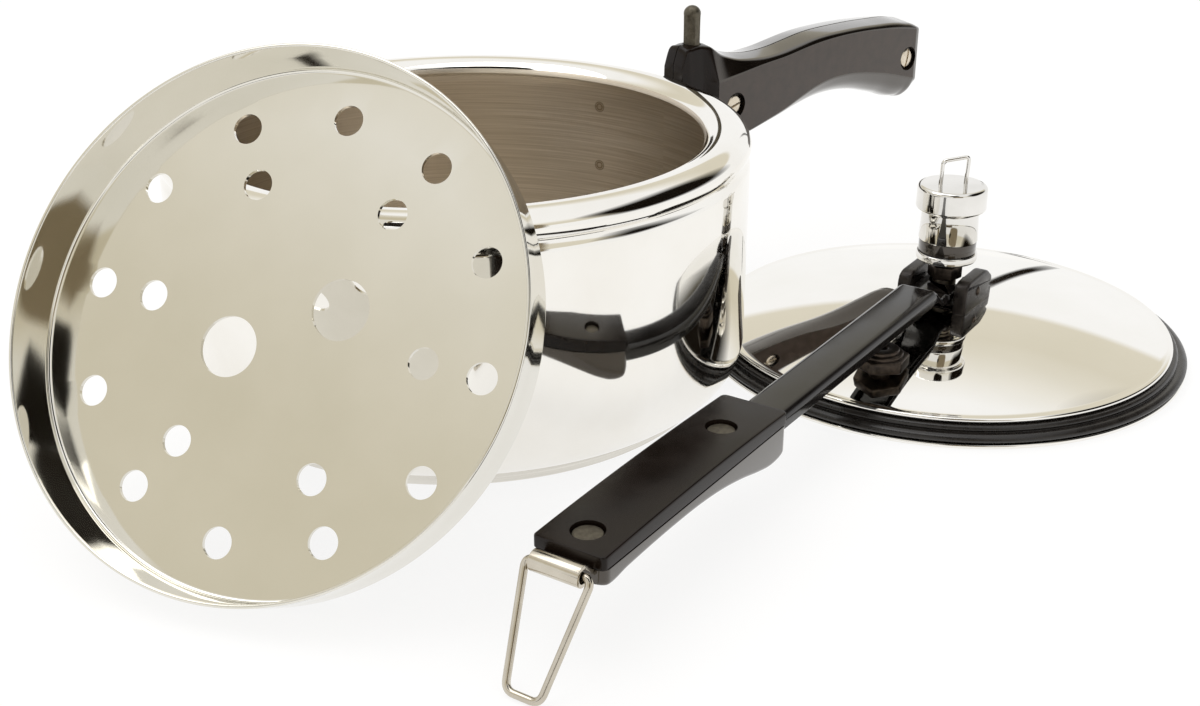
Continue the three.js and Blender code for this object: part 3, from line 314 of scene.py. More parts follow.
# Base disc: an aluminium plate bonded under the pot to spread the heat. It is turned on a lathe and left satin, with
# fine marks 0.8 mm apart that run round it.
satin_aluminium = finish("satin_turned_aluminium", ("#d6d2c9", "#e6e3db"), 1.0, (0.14, 0.22), (60, 0.8, 1), "UV",
                         0.004)
disc_line = np.concatenate([[(0, 0), (40, 0)], arc(84.8, 1.2, 1.2, 1.2, -90, 0, 8),
                            arc(85.4, 3.4, 0.6, 0.6, 0, 90, 5), [(40, 4), (0, 4)]])
dress(turned("base_disc_skin", disc_line), "pot", "base_metal", ["base_disc"], satin_aluminium)


# Handle bracket: a strap of sheet steel curved to the wall and welded on, with a tongue into the handle.
# It is plain pressed steel, hidden but for its wings and a glimpse beside the rim.
def rounded(corners, steps=6):
    """Closed outline whose corners (x, y, reach) become parabolas that leave both sides at the reach."""
    corners = np.asarray(corners, float)
    place, reach = corners[:, :2], corners[:, 2:]
    back, on = np.roll(place, 1, 0) - place, np.roll(place, -1, 0) - place
    back *= reach / np.linalg.norm(back, axis=1, keepdims=True)
    on *= reach / np.linalg.norm(on, axis=1, keepdims=True)
    t = np.linspace(0, 1, steps)[:, None]
    return (place[:, None] + (1 - t) ** 2 * back[:, None] + t ** 2 * on[:, None]).reshape(-1, 2)


def prism(name, outline, low, high, edge, lay="XYZ", at=None):
    """Solid between two levels over a closed outline, its rims rolled off at the edge radius: the outline is drawn
    in along its normals by a quarter circle. lay says which axes the outline and the level run along."""
    outline = np.asarray(outline, float)
    ahead = np.roll(outline, -1, 0) - np.roll(outline, 1, 0)
    out = np.stack([ahead[:, 1], -ahead[:, 0]], -1)
    out /= np.maximum(np.linalg.norm(ahead, axis=1, keepdims=True), 1e-9)
    area = np.sum(outline[:, 0] * np.roll(outline[:, 1], -1) - np.roll(outline[:, 0], -1) * outline[:, 1])
    turn = np.linspace(0, np.pi / 2, 5)
    draw = edge * (1 - np.sin(turn)) * np.sign(area)
    levels = np.concatenate([low + edge * (1 - np.cos(turn)), high - edge * (1 - np.cos(turn))[::-1]])
    flat = outline[None] - np.concatenate([draw, draw[::-1]])[:, None, None] * out[None]
    stack = np.concatenate([flat, np.broadcast_to(levels[:, None, None], (*flat.shape[:2], 1))], -1)
    return surface(name, stack[..., ["XYZ".index(axis) for axis in lay]], caps=True, at=at)


def merged(first, *others):
    """One object from several closed shells."""
    work = bmesh.new()
    for piece in (first, *others):
        work.from_mesh(piece.data)
    work.to_mesh(first.data)
    work.free()
    for piece in others:
        bpy.data.objects.remove(piece)
    return first


def carved(piece, *tools):
    """The piece less the tools, by exact boolean; the tools are deleted."""
    for tool in tools:
        cut = piece.modifiers.new("cut", "BOOLEAN")
        cut.solver = "EXACT"
        cut.object = tool
    mesh = bpy.data.meshes.new_from_object(piece.evaluated_get(bpy.context.evaluated_depsgraph_get()))
    piece.modifiers.clear()
    piece.data = mesh
    mesh.set_sharp_from_angle(angle=crease)
    for tool in tools:
        bpy.data.objects.remove(tool)
    return piece


# Pressed mild steel, zinc plated: dull grey with cloudy patches.
plated_steel = finish("zinc_plated_steel", ("#8d877d", "#aaa398"), 1.0, (0.32, 0.45), (6, 6, 6), relief=0.01)
sweep_angle = np.radians(np.linspace(-20, 20, 41))[:, None]
strap_ring = rounded([(98.3, 46, 0.7), (99.8, 46, 0.7), (99.8, 79, 0.7), (98.3, 79, 0.7)], 4)
strap = surface("bracket_skin", np.stack(np.broadcast_arrays(
    strap_ring[:, 0] * np.cos(sweep_angle), strap_ring[:, 0] * np.sin(sweep_angle), strap_ring[:, 1]), -1), caps=True)
tongue = prism("tongue", rounded([(99, 62, 0.5), (113.3, 62, 2), (138, 71.6, 2), (138, 79, 2), (99, 79, 0.5)]),
               -1.5, 1.5, 0.3, "XZY")
dress(merged(strap, tongue), "pot", "bracket_steel", ["handle_bracket"], plated_steel)


# Pot handle: two compression-moulded halves of black phenolic resin clamped on the bracket's tongue. A narrow block
# carries the guide post, the sides are flat and satin, and the top and the keel are rounded and glossy.
def through(line, x):
    """Smooth curve through (x, value) points: a cubic between neighbours whose slope at each point is that of the
    chord across it."""
    px, value = np.asarray(line, float).T
    slope = np.gradient(value, px)
    i = np.clip(np.searchsorted(px, x) - 1, 0, len(px) - 2)
    h = px[i + 1] - px[i]
    t = (x - px[i]) / h
    return (value[i] * (1 + 2 * t) * (1 - t) ** 2 + slope[i] * h * t * (1 - t) ** 2
            + value[i + 1] * t ** 2 * (3 - 2 * t) - slope[i + 1] * h * t ** 2 * (1 - t))


handle_x = np.concatenate([np.linspace(101, 104, 8), np.linspace(104.5, 120, 26), np.linspace(121, 230, 80),
                           np.linspace(230.5, 237, 16)])
crown = through([
    (101, 94), (103, 99.4), (106, 100.4), (112, 100.4), (116, 99.4), (121, 96.6), (127, 94.5), (137, 92.6),
    (150, 92.4), (161, 93.7), (171, 95), (191, 95.4), (209, 94.8), (228, 93.0), (235, 91.0), (237, 89.6)], handle_x)
face_top = through([(101, 86), (112, 86), (126.5, 87.6), (139, 89.2), (152, 90.2), (168, 92.2), (179, 93),
                    (191, 93.2), (210, 92.2), (234, 88.9), (237, 88.3)], handle_x)
face_low = through([(101, 62), (112, 60.2), (132, 63.6), (143, 66.1), (154, 68.9), (164, 72.3), (172, 74.7),
                    (181, 76.2), (190.5, 76.3), (212, 73.2), (237, 66.6)], handle_x)
keel = through([(101, 61), (104, 58), (115, 58.3), (131, 61.2), (150, 64.2), (165, 66.6), (178, 68.2), (190, 68.2),
                (200, 67), (216, 63), (231, 58.6), (235.5, 58.6), (237, 61)], handle_x)
half_width = 10
wide = half_width * np.interp(handle_x, [101, 104, 111, 115, 235, 237], [0.5, 0.62, 0.68, 1, 1, 0.95])
ridge = np.minimum(half_width * np.interp(handle_x, [101, 115, 122, 130, 145, 237],
                                          [0.48, 0.54, 0.6, 0.72, 0.86, 0.86]), wide - 0.2)
ridge_height = crown - (crown - face_top) * np.interp(handle_x, [101, 116, 130, 145, 237],
                                                      [0.06, 0.06, 0.3, 0.45, 0.45])
parting = np.full_like(handle_x, 0.15)


def rolled(corners, reach, steps, most=0.48):
    """Section rings whose corners (ring, corner, 2) become parabolas: each leaves both of its sides at the corner's
    reach, or at the given share of a short side."""
    back, on = np.roll(corners, 1, 1) - corners, np.roll(corners, -1, 1) - corners
    reach = np.array(reach)[:, None]
    back *= np.minimum(reach / np.maximum(np.linalg.norm(back, axis=2, keepdims=True), 1e-6), most)
    on *= np.minimum(reach / np.maximum(np.linalg.norm(on, axis=2, keepdims=True), 1e-6), most)
    t = np.linspace(0, 1, steps)[:, None]
    return (corners[:, :, None] + (1 - t) ** 2 * back[:, :, None] + t ** 2 * on[:, :, None]).reshape(
        len(corners), -1, 2)


def handle_half(name, side):
    """Section rings carried along the handle: keel, belly, the two edges of the flat side, ridge and crown, each
    corner rolled off by its own reach."""
    corners = np.stack([
        np.stack([parting, keel], -1), np.stack([0.42 * wide, face_low - 0.9 * (face_low - keel)], -1),
        np.stack([0.78 * wide, face_low - 0.55 * (face_low - keel)], -1), np.stack([wide, face_low], -1),
        np.stack([wide, face_top], -1), np.stack([ridge, ridge_height], -1), np.stack([parting, crown], -1)], 1)
    ring = rolled(corners, [0.35, 2.0, 2.0, 0.7, 0.7, 1.3, 0.35], 6)
    x = np.broadcast_to(handle_x[:, None], ring.shape[:2])
    return surface(name, np.stack([x, side * ring[..., 0], ring[..., 1]], -1), caps=True)


# Black phenolic straight from the mould: brown-black, glossy where it was buffed, satin on the flat side.
gloss_phenolic = finish("glossy_black_phenolic", ("#0d0a08", "#15110e"), 0.0, (0.10, 0.16), (9, 9, 9), relief=0.002,
                        IOR=1.6, Coat_Weight=1.0, Coat_Roughness=0.05, Specular_Tint=srgb("#f2dfc8"))
satin_phenolic = finish("satin_black_phenolic", ("#32281f", "#43372f"), 0.0, (0.30, 0.40), (5, 5, 5), relief=0.006,
                        IOR=1.6)
# A copy of the black phenolic with a low IOR and no coat, so it mirrors little; on the handle's block it is painted
# shade.
low_gloss_phenolic = finish("low_gloss_black_phenolic", ("#120c08", "#1b130e"), 0.0, (0.16, 0.26), (12, 12, 12), relief=0.002,
                        IOR=1.3)
# Place of each screw along and up the handle, and the turn of its slot in degrees.
screw_places = {"front": (125.2, 75.6, 14), "rear": (230.6, 76.5, 78)}


def across(x, z):
    """Frame that lays a piece turned about +Z along -Y through (x, z) of the handle."""
    return np.array([[1.0, 0, 0], [0, 0, -1], [0, 1, 0]]), np.array([x, 0.0, z])


def hexagon(flats, reach):
    """Corners of a hexagon given across its flats, each with the same reach."""
    turn = np.radians(np.arange(0, 360, 60))
    return [(flats / math.sqrt(3) * math.cos(a), flats / math.sqrt(3) * math.sin(a), reach) for a in turn]


def rod(name, radius, low, high, sides, at):
    """Plain cylinder between two heights, as a tool that drills a hole."""
    return turned(name, [(0, low), (radius, low), (radius, high), (0, high)], sides, at)


post_x = 110.3
post_frame = np.eye(3), np.array([post_x, 0, 0])
seat_line = np.concatenate([[(0, 7.2)], arc(4.7, 7.5, 0.3, 0.3, -90, 0, 4), [(5.0, 14), (0, 14)]])
near_half = carved(handle_half("handle_near_skin", -1), rod("post_hole", 3.5, 88, 120, 48, post_frame), *(
    turned("seat", seat_line, 48, across(x, z)) for x, z, _ in screw_places.values()))
far_half = carved(handle_half("handle_far_skin", 1), rod("post_hole", 3.5, 88, 120, 48, post_frame), *(
    prism("pocket", rounded(hexagon(7, 0.3), 3), -20, -7.1, 0.01, at=across(x, z))
    for x, z, _ in screw_places.values()))
block_end = 0.1155
for half, node, side in ((near_half, "handle_half_near", -1), (far_half, "handle_half_far", 1)):
    dress(half, "pot", "handle_plastic", [node], gloss_phenolic, satin_phenolic, low_gloss_phenolic)
    centres, normals = face_arrays(half)
    # The block's faces get the low-gloss copy: painted shade, standing in for the dark studio that the block mirrors.
    painted_shade_block = centres[:, 0] < block_end
    flat_side = (normals[:, 1] * side > 0.995) & ~painted_shade_block
    half.data.polygons.foreach_set("material_index", (flat_side + 2 * painted_shade_block).astype(np.int32))

# Handle screws and nuts: nickel-plated slotted screws sunk in the near side, hexagon nuts pocketed in the far side.
# The plating is pale and warm, with fine turning marks.
nickel = finish("nickel_plated_brass", ("#cfc3b0", "#e4dac8"), 1.0, (0.2, 0.34), (0.8, 0.8, 0.8), relief=0.006)
head_line = np.concatenate([[(0, 9.5), (1.5, 9.48), (2.6, 9.36)], arc(2.9, 8.5, 0.9, 0.72, 75, 0, 8),
                            [(3.8, 7.7), (2.2, 7.7), (2.2, -9.6)], arc(1.8, -9.7, 0.4, 0.3, 0, -90, 4), [(0, -10)]])
for name, (x, z, tilt) in screw_places.items():
    lean = math.radians(tilt)
    slot_line = rounded([(5 * u, 0.45 * v, 0.05) for u, v in square_corners], 2)
    slot_line = slot_line @ np.array([[math.cos(lean), math.sin(lean)], [-math.sin(lean), math.cos(lean)]])
    screw = carved(turned(f"screw_{name}_skin", head_line[::-1], 64, across(x, z)),
                   prism("slot", slot_line, 8.6, 12, 0.01, at=across(x, z)))
    dress(screw, "pot", "fastener_steel", [f"handle_screw_{name}"], nickel)
    nut = carved(prism(f"nut_{name}_skin", rounded(hexagon(6.4, 0.35), 4), -10, -7.4, 0.3, at=across(x, z)),
                 rod("thread", 2.35, -20, 0, 48, across(x, z)))
    dress(nut, "pot", "fastener_steel", [f"handle_nut_{name}"], nickel)

# Guide post: a peg of grey-brown sintered metal, grainy to the eye. Its shank is eight-sided and its top a dome, and
# it is pressed into the block of the handle.
sintered = finish("sintered_bronze", ("#4d473d", "#6b6557"), 0.7, (0.36, 0.5), (1.2, 1.2, 1.2), relief=0.02)
post_line = np.concatenate([[(0, 88.5)], [(3.2, 88.5), (3.3, 88.7), (3.3, 100), (3.3, 106), (3.3, 110.6)],
                            arc(0, 111.2, 3.3, 3.3, 0, 90, 16)])
turn = np.linspace(0, 2 * np.pi, 96, endpoint=False)
flat = np.cos(np.pi / 8) / np.cos((turn + np.pi / 8) % (np.pi / 4) - np.pi / 8)
blend = np.clip((112.4 - post_line[:, 1]) / 2.5, 0, 1)[:, None]
post_radius = post_line[:, :1] * (1 - blend + blend * flat[None])
post = surface("guide_post_skin", np.stack(np.broadcast_arrays(
    post_x + post_radius * np.cos(turn), post_radius * np.sin(turn), post_line[:, 1:]), -1))
dress(post, "pot", "dark_metal", ["guide_post"], sintered)


# Steamer tray: a shallow dish pressed from sheet steel and polished, with twelve and six drain holes on two circles
# and two large holes to lift it by. It stands on its lower corner and leans back on the rim.
def turned_frame(origin, yaw, pitch=0.0):
    """Turn and origin of a frame pitched about Y, so that +X goes down, then turned about Z."""
    cy, sy, cp, sp = math.cos(yaw), math.sin(yaw), math.cos(pitch), math.sin(pitch)
    yaw_turn = np.array([[cy, -sy, 0], [sy, cy, 0], [0, 0, 1]])
    return yaw_turn @ np.array([[cp, 0, sp], [0, 1, 0], [-sp, 0, cp]]), np.array(origin, float)


def moved(frame, x, y=0.0, z=0.0):
    """The frame with its origin moved along its own axes."""
    return frame[0], frame[1] + frame[0] @ np.array([x, y, z])


lean, tray_azimuth = math.radians(34.63), math.radians(207.7)
tray_out, tray_height = 115.672, 62.628
tray_frame = turned_frame((tray_out * math.cos(tray_azimuth), tray_out * math.sin(tray_azimuth), tray_height),
                          tray_azimuth, math.pi / 2 - lean)
dish_line = np.concatenate([
    [(0, 0), (30, 0), (60, 0)], arc(74.8, 2.5, 2.5, 2.5, -90, 0, 12), [(77.7, 9.5), (78.06, 16.2)],
    arc(77.5, 16.4, 0.6, 0.6, 0, 180, 9), [(76.5, 9.5)], arc(74.8, 2.5, 1.3, 1.3, 0, -90, 12),
    [(60, 1.2), (30, 1.2), (0, 1.2)]])
# Each hole: the circle that it lies on, its angle there and its radius.
spin = math.radians(25.3)
holes = [(61.75, spin + math.radians(30 * k), 4.5) for k in range(12)]
holes += [(44, spin + math.radians(60 * k), 4.5) for k in range(6)]
holes += [(17.6, spin + math.radians(90 + 180 * k), 8.8) for k in range(2)]
tray = carved(turned("steamer_tray_skin", dish_line, 256, tray_frame), *(
    rod("drain", radius, -9, 9, 64, moved(tray_frame, circle * math.cos(a), circle * math.sin(a)))
    for circle, a, radius in holes))
rim_roll = tray.modifiers.new("punched_edges", "BEVEL")
rim_roll.width = 0.0003
rim_roll.segments = 3
rim_roll.limit_method = "ANGLE"
rim_roll.angle_limit = math.radians(60)
rim_roll.harden_normals = True
# Sheet stainless with a bright mill polish: nearly a mirror, with a haze that varies over two centimetres.
sheet_steel = finish("bright_sheet_stainless", ("#e2dfd5", "#e6e3da"), 1.0, (0.05, 0.075), (22, 22, 22))
dress(tray, "steamer_tray", "tray_steel", ["steamer_tray"], sheet_steel)

# Lid: a shallow dome pressed from stainless steel, with a rolled bead, a neck for the gasket and a flange below.
# It is polished to a mirror, brighter than the pot.
def dome_height(r):
    """Height of the dome's outside at a radius: a parabola that falls by the sag at the dome's edge."""
    top, sag, edge = 17, 8.7, 79.5
    return top - sag * (r / edge) ** 2


lid_low, lid_high = (np.array(corner) * 1000 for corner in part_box("lid_gasket"))
lid_centre = (*((lid_low + lid_high) / 2)[:2], 0.0)
lid_frame = turned_frame(lid_centre, 0.0)
dome_r = np.linspace(0, 78.8, 48)
dome = np.stack([dome_r, dome_height(dome_r)], -1)
under = np.stack([dome_r * 78 / 79.5, dome_height(dome_r) - 1.5], -1)[::-1]
lid_line = np.concatenate([
    dome, [(79.6, 8.28), (80.6, 8.3)], arc(81.5, 7.5, 0.8, 0.8, 90, -90, 14),
    [(79.5, 6.7), (79.5, 1.6), (79.6, 1.5)], arc(86.9, 0.75, 0.6, 0.75, 90, -90, 10),
    [(78.1, 0), (78, 0.1), (78, 6.6)], under[1:]])
mirror_lid = finish("mirror_polished_lid_steel", ("#f2f0ea", "#f7f5f1"), 1.0, (0.015, 0.04), (35, 35, 35))
dress(turned("lid_dome_skin", lid_line, 256, lid_frame), "lid", "lid_steel", ["lid_dome"], mirror_lid)

# Gasket: a moulded ring of black rubber stretched into the lid's neck, with a broad lip below and a narrow ridge
# above. Rubber from a polished mould has a soft sheen.
gasket_line = rounded([
    (79.8, 1.8, 0.2), (86.6, 1.8, 0.4), (87.8, 2.7, 0.8), (87.3, 3.9, 0.8), (85.9, 4.5, 0.5), (83.9, 4.4, 0.4),
    (84.4, 5.4, 0.5), (83.6, 6.4, 0.5), (79.8, 6.4, 0.2)], 6)
rubber = finish("nitrile_rubber", ("#171412", "#221e1b"), 0.0, (0.24, 0.34), (3, 3, 3), relief=0.004, IOR=1.52)
dress(turned("lid_gasket_skin", gasket_line, 256, lid_frame), "lid", "gasket_rubber", ["lid_gasket"], rubber)

# Vent tube and its nuts: turned brass gone dark with use, the tube through the middle of the lid, a hexagon nut above
# the arm and a lock nut inside the lid.
dark_brass = finish("tarnished_brass", ("#2b2622", "#564c43"), 0.9, (0.28, 0.45), (2.5, 2.5, 2.5), relief=0.01)
alloy = finish("cast_alloy", ("#8d8375", "#aba08f"), 1.0, (0.3, 0.42), (2, 2, 2), relief=0.01)
tube_line = [(1.6, 9.4), (3.5, 9.4), (3.5, 18.4), (4.3, 18.6), (4.3, 25.4), (3.5, 25.5), (3.5, 31.2),
             (4.4, 31.4), (4.4, 32.6), (3.5, 32.8), (3.5, 41.6), (3.1, 42), (1.6, 42)]
dress(turned("vent_tube_skin", tube_line, 64, lid_frame), "lid", "vent_metal", ["vent_tube"], alloy)
vent_nut = carved(prism("vent_nut_skin", rounded(hexagon(11, 0.7), 5), 25.8, 30.8, 0.6, at=lid_frame),
                  rod("bore", 3.6, -5, 60, 48, lid_frame))
dress(vent_nut, "lid", "dark_metal", ["vent_nut"], dark_brass)
lock_nut = carved(prism("lock_nut_skin", rounded(hexagon(13, 0.6), 5), 10.0, 14.0, 0.5, at=lid_frame),
                  rod("bore", 3.6, -5, 60, 48, lid_frame))
dress(lock_nut, "lid", "vent_metal", ["vent_lock_nut"], alloy)

# Pivot bracket: a black-oxidised steel saddle on the dome, its two cheeks notched at the back, with a stub pin
# through each cheek into the arm.
arm_yaw = math.radians(194.5)
pivot_frame = turned_frame(lid_centre, arm_yaw)
black_oxide = finish("black_oxide_steel", ("#1d1917", "#332d29"), 0.6, (0.24, 0.38), (3, 3, 3), relief=0.01)
pivot_height = 22.8
cheek = rounded([
    (-13.6, 16.0, 0.8), (11.6, 16.4, 0.8), (12, 25.6, 2.6), (9.2, 28.5, 2.2), (-8.4, 28.5, 2.4), (-14, 24.6, 1.6),
    (-14, 22.2, 0.6), (-11.4, 21.4, 0.6), (-14, 20.4, 0.6)], 6)
saddle = merged(prism("pivot_bracket_skin", cheek, 8.25, 13.25, 0.9, "XZY", pivot_frame),
                prism("cheek", cheek, -13.25, -8.25, 0.9, "XZY", pivot_frame),
                prism("plate", rounded([(7 * u, 9.5 * v, 1) for u, v in square_corners]), 17.3, 18.3, 0.2,
                      at=pivot_frame))
dress(saddle, "lid", "bar_black", ["pivot_bracket"], black_oxide)
for side, node in ((1, "pivot_pin_left"), (-1, "pivot_pin_right")):
    pin_frame = pivot_frame[0] @ across(0, 0)[0], pivot_frame[1] + np.array([0, 0, pivot_height])
    pin_line = np.concatenate([[(0, 5.75), (1.1, 5.75), (1.1, 13.3), (1.7, 13.3)], arc(0, 13.3, 1.7, 0.7, 0, 90, 8)])
    pin = turned(f"{node}_skin", pin_line * np.array([1, -side]), 40, pin_frame)
    dress(pin, "lid", "dark_metal", [node], dark_brass)

# Safety valve: a dark brass hexagon screwed through the dome, with a stepped round boss, a fusible plug of pale alloy
# in its middle and a nut inside the lid.
along, aside, hexagon_reach = 60, 2.8, 8.5
valve_out = math.hypot(along, aside)
valve_frame = turned_frame(moved(pivot_frame, along, aside)[1], math.radians(20))
seat_z = dome_height(valve_out - hexagon_reach) + 0.3
valve = prism("safety_valve_skin", rounded(hexagon(17, 1.0), 5), seat_z, seat_z + 4.2, 0.6, at=valve_frame)
boss_line = np.concatenate([[(2.0, seat_z - 6), (4, seat_z - 6), (4, seat_z + 4.1), (7.4, seat_z + 4.1)],
                            arc(6.8, seat_z + 4.9, 0.6, 0.5, 0, 90, 5), [(6.0, seat_z + 5.4)],
                            arc(5.5, seat_z + 6.1, 0.5, 0.5, 0, 90, 5), arc(2.5, seat_z + 6.1, 0.5, 0.5, 90, 180, 5)])
merged(valve, turned("boss", boss_line, 64, valve_frame))
dress(valve, "lid", "dark_metal", ["safety_valve_body"], dark_brass)
plug_line = np.concatenate([[(0, seat_z - 5), (1.7, seat_z - 5), (1.7, seat_z + 3.6)],
                            arc(1.2, seat_z + 3.7, 0.5, 0.5, 0, 90, 5), [(0, seat_z + 4.2)]])
dress(turned("safety_plug_skin", plug_line, 40, valve_frame), "lid", "vent_metal", ["safety_valve_plug"], alloy)
under_z = dome_height(valve_out + hexagon_reach) - 1.8
valve_nut = carved(prism("valve_nut_skin", rounded(hexagon(12, 0.6), 5), under_z - 3, under_z, 0.4, at=valve_frame),
                   rod("bore", 4.2, 0, 40, 48, valve_frame))
dress(valve_nut, "lid", "dark_metal", ["safety_valve_nut"], dark_brass)

# Lever arm bar: a strip of steel folded to an inverted channel and stove-enamelled black. Near the vent it bends down
# to a flat fork round the tube; at the other end its web runs on as a tongue between the halves of the grip.
arm_frame = turned_frame((*lid_centre[:2], pivot_height), arm_yaw)
bar_x = np.concatenate([np.linspace(12, 16, 6), np.linspace(16.5, 27, 32), np.linspace(29, 145.7, 40)])
rise = np.clip((bar_x - 16) / 10, 0, 1)
bar_top = 1.3 + 5.7 * rise ** 2 * (3 - 2 * rise)
web = np.interp(bar_x, [16, 27], [2.6, 1.8])
depth = np.interp(bar_x, [16, 27], [2.7, 5.0])
ones = np.ones_like(bar_x)
channel = np.stack([np.stack([y * ones, bar_top - drop], -1) for y, drop in (
    (-7.5, depth), (-7.5, 1.6 * ones), (-5.9, 0 * ones), (5.9, 0 * ones), (7.5, 1.6 * ones), (7.5, depth), (5.7, depth),
    (5.7, web + 0.05), (-5.7, web + 0.05), (-5.7, depth))], 1)
section = rolled(channel, [0.3, 1.0, 1.0, 1.0, 1.0, 0.3, 0.3, 0.02, 0.02, 0.3], 7)
channel_bar = surface("lid_bar_skin", np.concatenate([
    np.broadcast_to(bar_x[:, None, None], (*section.shape[:2], 1)), section], -1), caps=True, at=arm_frame)
fork_line = rounded([
    (13, -7.5, 0.5), (13, 7.5, 0.5), (-7, 7.5, 2.5), (-7, 5.3, 0.8), (0, 5.3, 0.5), (3.8, 3.8, 1.5),
    (5.3, 0, 1.5), (3.8, -3.8, 1.5), (0, -5.3, 0.5), (-7, -5.3, 0.8), (-7, -7.5, 2.5)], 5)
fork = prism("fork", fork_line, -1.3, 1.3, 0.4, at=arm_frame)
tongue_line = rounded([(144, -7.3, 0.5), (225, -7.3, 1), (225, 7.3, 1), (144, 7.3, 0.5)], 4)
web_tongue = prism("web_tongue", tongue_line, 5.2, 7.0, 0.2, at=arm_frame)
enamel = finish("black_stove_enamel", ("#12100f", "#1a1716"), 0.0, (0.10, 0.16), (14, 14, 14), relief=0.003, IOR=1.5)
dress(merged(channel_bar, fork, web_tongue), "lever_arm", "bar_black", ["lid_bar"], enamel)


# Grip: two halves of black phenolic riveted over the bar's tongue. The upper is a flat strip with sunken rivet heads,
# the lower is deeper with a belly for the fingers.
def grip_half(name, low_line, high_line, edges, ends):
    """Block 97 by 22 mm between two height lines along it: rings of a rounded rectangle across, carried along the grip
    and drawn in at both ends by a quarter circle."""
    end = ends * (1 - np.sin(np.linspace(0, np.pi / 2, 10)))
    run = ends * (1 - np.cos(np.linspace(0, np.pi / 2, 10)))
    x = np.concatenate([146 + run, np.linspace(149, 240, 70), 243 - run[::-1]])
    draw = np.concatenate([end, np.zeros(70), end[::-1]])
    low, high = low_line(x), high_line(x)
    half = 11 - draw
    corners = np.stack([np.stack([-half, low], -1), np.stack([half, low], -1), np.stack([half, high], -1),
                        np.stack([-half, high], -1)], 1)
    ring = rolled(corners, edges, 8, 0.45)
    grid = np.concatenate([np.broadcast_to(x[:, None, None], (*ring.shape[:2], 1)), ring], -1)
    return surface(name, grid, caps=True, at=arm_frame)


def grip_top(x):
    """Top of the grip, a flat arch: a parabola 0.9 mm high over the grip's length."""
    return 11.1 + 0.9 * (1 - ((x - 194.5) / 48.5) ** 2)


def underside(x):
    """Underside of the grip: a belly near the front end, drawn up to a waist for the fingers."""
    return through([(146, 0.6), (147, -1.2), (149, -2.5), (152, -3.0), (155.7, -3.0), (162, -1.9), (172, 0.4),
                    (184, 2.4), (196, 3.4), (208, 3.6), (220, 3.4), (232, 2.9), (241.5, 2.4), (243, 2.9)], x)


rivets = {"front": 166, "rear": 234}
upper_block = grip_half("grip_upper_skin", lambda x: np.full_like(x, 7.5), grip_top, [0.25, 0.25, 0.8, 0.8], 1.4)
grip_upper = carved(upper_block, *(rod("sink", 4.7, 9.2, 20, 48, moved(arm_frame, x)) for x in rivets.values()))
lower_block = grip_half("grip_lower_skin", underside, lambda x: np.full_like(x, 7.2), [1.6, 1.6, 0.25, 0.25], 2.6)
grip_lower = carved(lower_block, *(
    rod("sink", 4.6, -12, underside(x) + 1.5, 48, moved(arm_frame, x)) for x in rivets.values()))
dress(grip_upper, "lever_arm", "handle_plastic", ["grip_upper"], low_gloss_phenolic)
dress(grip_lower, "lever_arm", "handle_plastic", ["grip_lower"], gloss_phenolic)

# Rivets: two mild-steel rivets through the grip and the bar's tongue, gone brown-grey. Their flat heads lie sunk in
# the upper half and their feet in the lower.
for name, x in rivets.items():
    foot = underside(x) + 0.5
    rivet_line = np.concatenate([
        [(0, foot), (3.8, foot), (4.2, foot + 0.4), (4.2, foot + 1), (2.4, foot + 1), (2.4, 9.6), (4.2, 9.6)],
        arc(3.7, 10.1, 0.5, 0.5, 0, 90, 6), [(0, 10.66)]])
    rivet = turned(f"rivet_{name}_skin", rivet_line, 64, moved(arm_frame, x))
    dress(rivet, "lever_arm", "dark_metal", [f"grip_rivet_{name}"], sintered)


# Loop sleeve: a strip of bright drawn steel held by the rear rivet, its end curled into a tube round the loop's wire.
# It keeps a mild gloss, with a haze that varies over a centimetre.
def strip(path, thickness):
    """Closed outline of a strip: the path moved to both sides along its normals by half the thickness."""
    ahead = np.gradient(path, axis=0)
    out = np.stack([-ahead[:, 1], ahead[:, 0]], -1) / np.linalg.norm(ahead, axis=1, keepdims=True)
    return np.concatenate([path + out * thickness / 2, (path - out * thickness / 2)[::-1]])


bright_wire = finish("bright_drawn_steel", ("#c0b8a9", "#d0c9bb"), 1.0, (0.14, 0.2), (9, 9, 9))
curl = np.concatenate([[(226, 6.1), (232, 6.1), (238, 6.1), (241.5, 6.15), (243.2, 6.6), (244.2, 7.8)],
                       arc(247, 7, 2.45, 2.45, 140, -165, 44)])
sleeve = prism("loop_sleeve_skin", strip(curl, 1.1), -7.5, 7.5, 0.15, "XZY", arm_frame)
dress(sleeve, "lever_arm", "wire_steel", ["loop_sleeve"], bright_wire)


# Latch loop: round steel wire bent to a tapering loop, its two ends meeting in the sleeve. It hangs from the sleeve
# and its tip lies on the floor.
def wire(name, corners, bend, radius, normal, at):
    """Round wire along a planar polyline with bent corners: circles across the path in the plane's normal and the
    direction square to it, drawn in to rounded ends."""
    place = np.asarray(corners, float)
    back, on = place[:-2] - place[1:-1], place[2:] - place[1:-1]
    back *= bend / np.linalg.norm(back, axis=1, keepdims=True)
    on *= bend / np.linalg.norm(on, axis=1, keepdims=True)
    t = np.linspace(0, 1, 14)[:, None]
    bends = (place[1:-1, None] + (1 - t) ** 2 * back[:, None] + t ** 2 * on[:, None]).reshape(-1, 3)
    line = np.concatenate([place[:1], bends, place[-1:]])
    ahead = np.gradient(line, axis=0)
    ahead /= np.linalg.norm(ahead, axis=1, keepdims=True)
    sideways = np.cross(ahead, normal)
    turn = np.linspace(0, 2 * np.pi, 24, endpoint=False)[:, None]
    rings = line[:, None] + radius * (np.cos(turn) * np.asarray(normal) + np.sin(turn) * sideways[:, None])
    return surface(name, rings, caps=True, at=at)


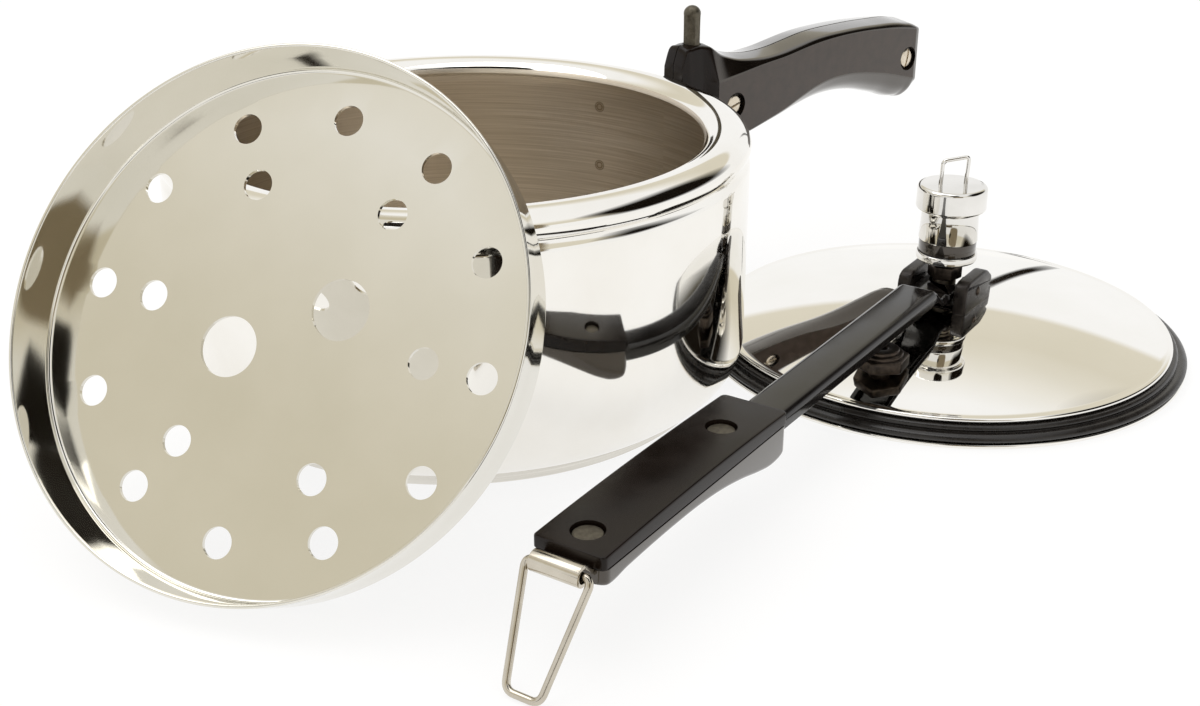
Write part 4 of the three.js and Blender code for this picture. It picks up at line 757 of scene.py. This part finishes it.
loop_reach, loop_wire, sleeve_height = 33, 1.1, 29.8
loop_frame = turned_frame(moved(arm_frame, 247, 0, 7)[1], arm_yaw, math.asin((sleeve_height - loop_wire) / loop_reach))
loop_line = [(0, 0.6, 0), (0, 10, 0), (loop_reach, 5.25, 0), (loop_reach, -5.25, 0), (0, -10, 0), (0, -0.6, 0)]
loop = wire("latch_loop_skin", loop_line, 2.8, loop_wire, (0.0, 0.0, 1.0), loop_frame)
dress(loop, "latch_loop", "wire_steel", ["latch_loop"], bright_wire)

# Vent weight: a turned brass weight, chromium plated, with a flared cap, a black heat-proof band and a plated ring
# below, and a small wire bail to lift it off the vent tube.
chrome = finish("chromium_plate", ("#dfddd8", "#eceae6"), 1.0, (0.02, 0.05), (12, 12, 12))
body_line = np.concatenate([
    [(0, 42.3), (4.1, 42.3), (4.1, 33), (8.6, 33), (8.6, 40.7), (10.4, 40.7), (10.6, 41), (10.1, 51.2)],
    arc(11.0, 51.2, 0.9, 0.8, 180, 90, 7), [(11.5, 52.15)], arc(11.7, 53.2, 0.8, 1.0, -80, 0, 8),
    [(12.45, 56), (12.4, 59.4)], arc(11.0, 59.6, 1.4, 1.35, 0, 90, 12), [(6, 60.98), (0, 61)]])
dress(turned("weight_body_skin", body_line, 128, lid_frame), "vent_weight", "weight_chrome", ["weight_body"], chrome)
ring_line = rounded([(8.9, 33, 0.2), (10.8, 33, 0.6), (11, 34.4, 0.7), (10.8, 36, 0.6), (8.9, 36, 0.2)])
dress(turned("weight_ring_skin", ring_line, 128, lid_frame), "vent_weight", "weight_chrome", ["weight_ring"], chrome)
band_line = rounded([(8.9, 36.3, 0.1), (10.3, 36.3, 0.3), (10.3, 40.7, 0.3), (8.9, 40.7, 0.1)], 4)
band = turned("weight_band_skin", band_line, 128, lid_frame)
dress(band, "vent_weight", "handle_plastic", ["weight_band"], gloss_phenolic)
bail_frame = turned_frame(lid_centre, math.radians(-38))
bail_line = [(-4.6, 0, 58), (-4.3, 0, 69.6), (5.0, 0, 71), (4.5, 0, 58)]
bail = wire("weight_bail_skin", bail_line, 1.6, 0.72, (0.0, 1.0, 0.0), bail_frame)
dress(bail, "vent_weight", "wire_steel", ["weight_bail"], chrome)
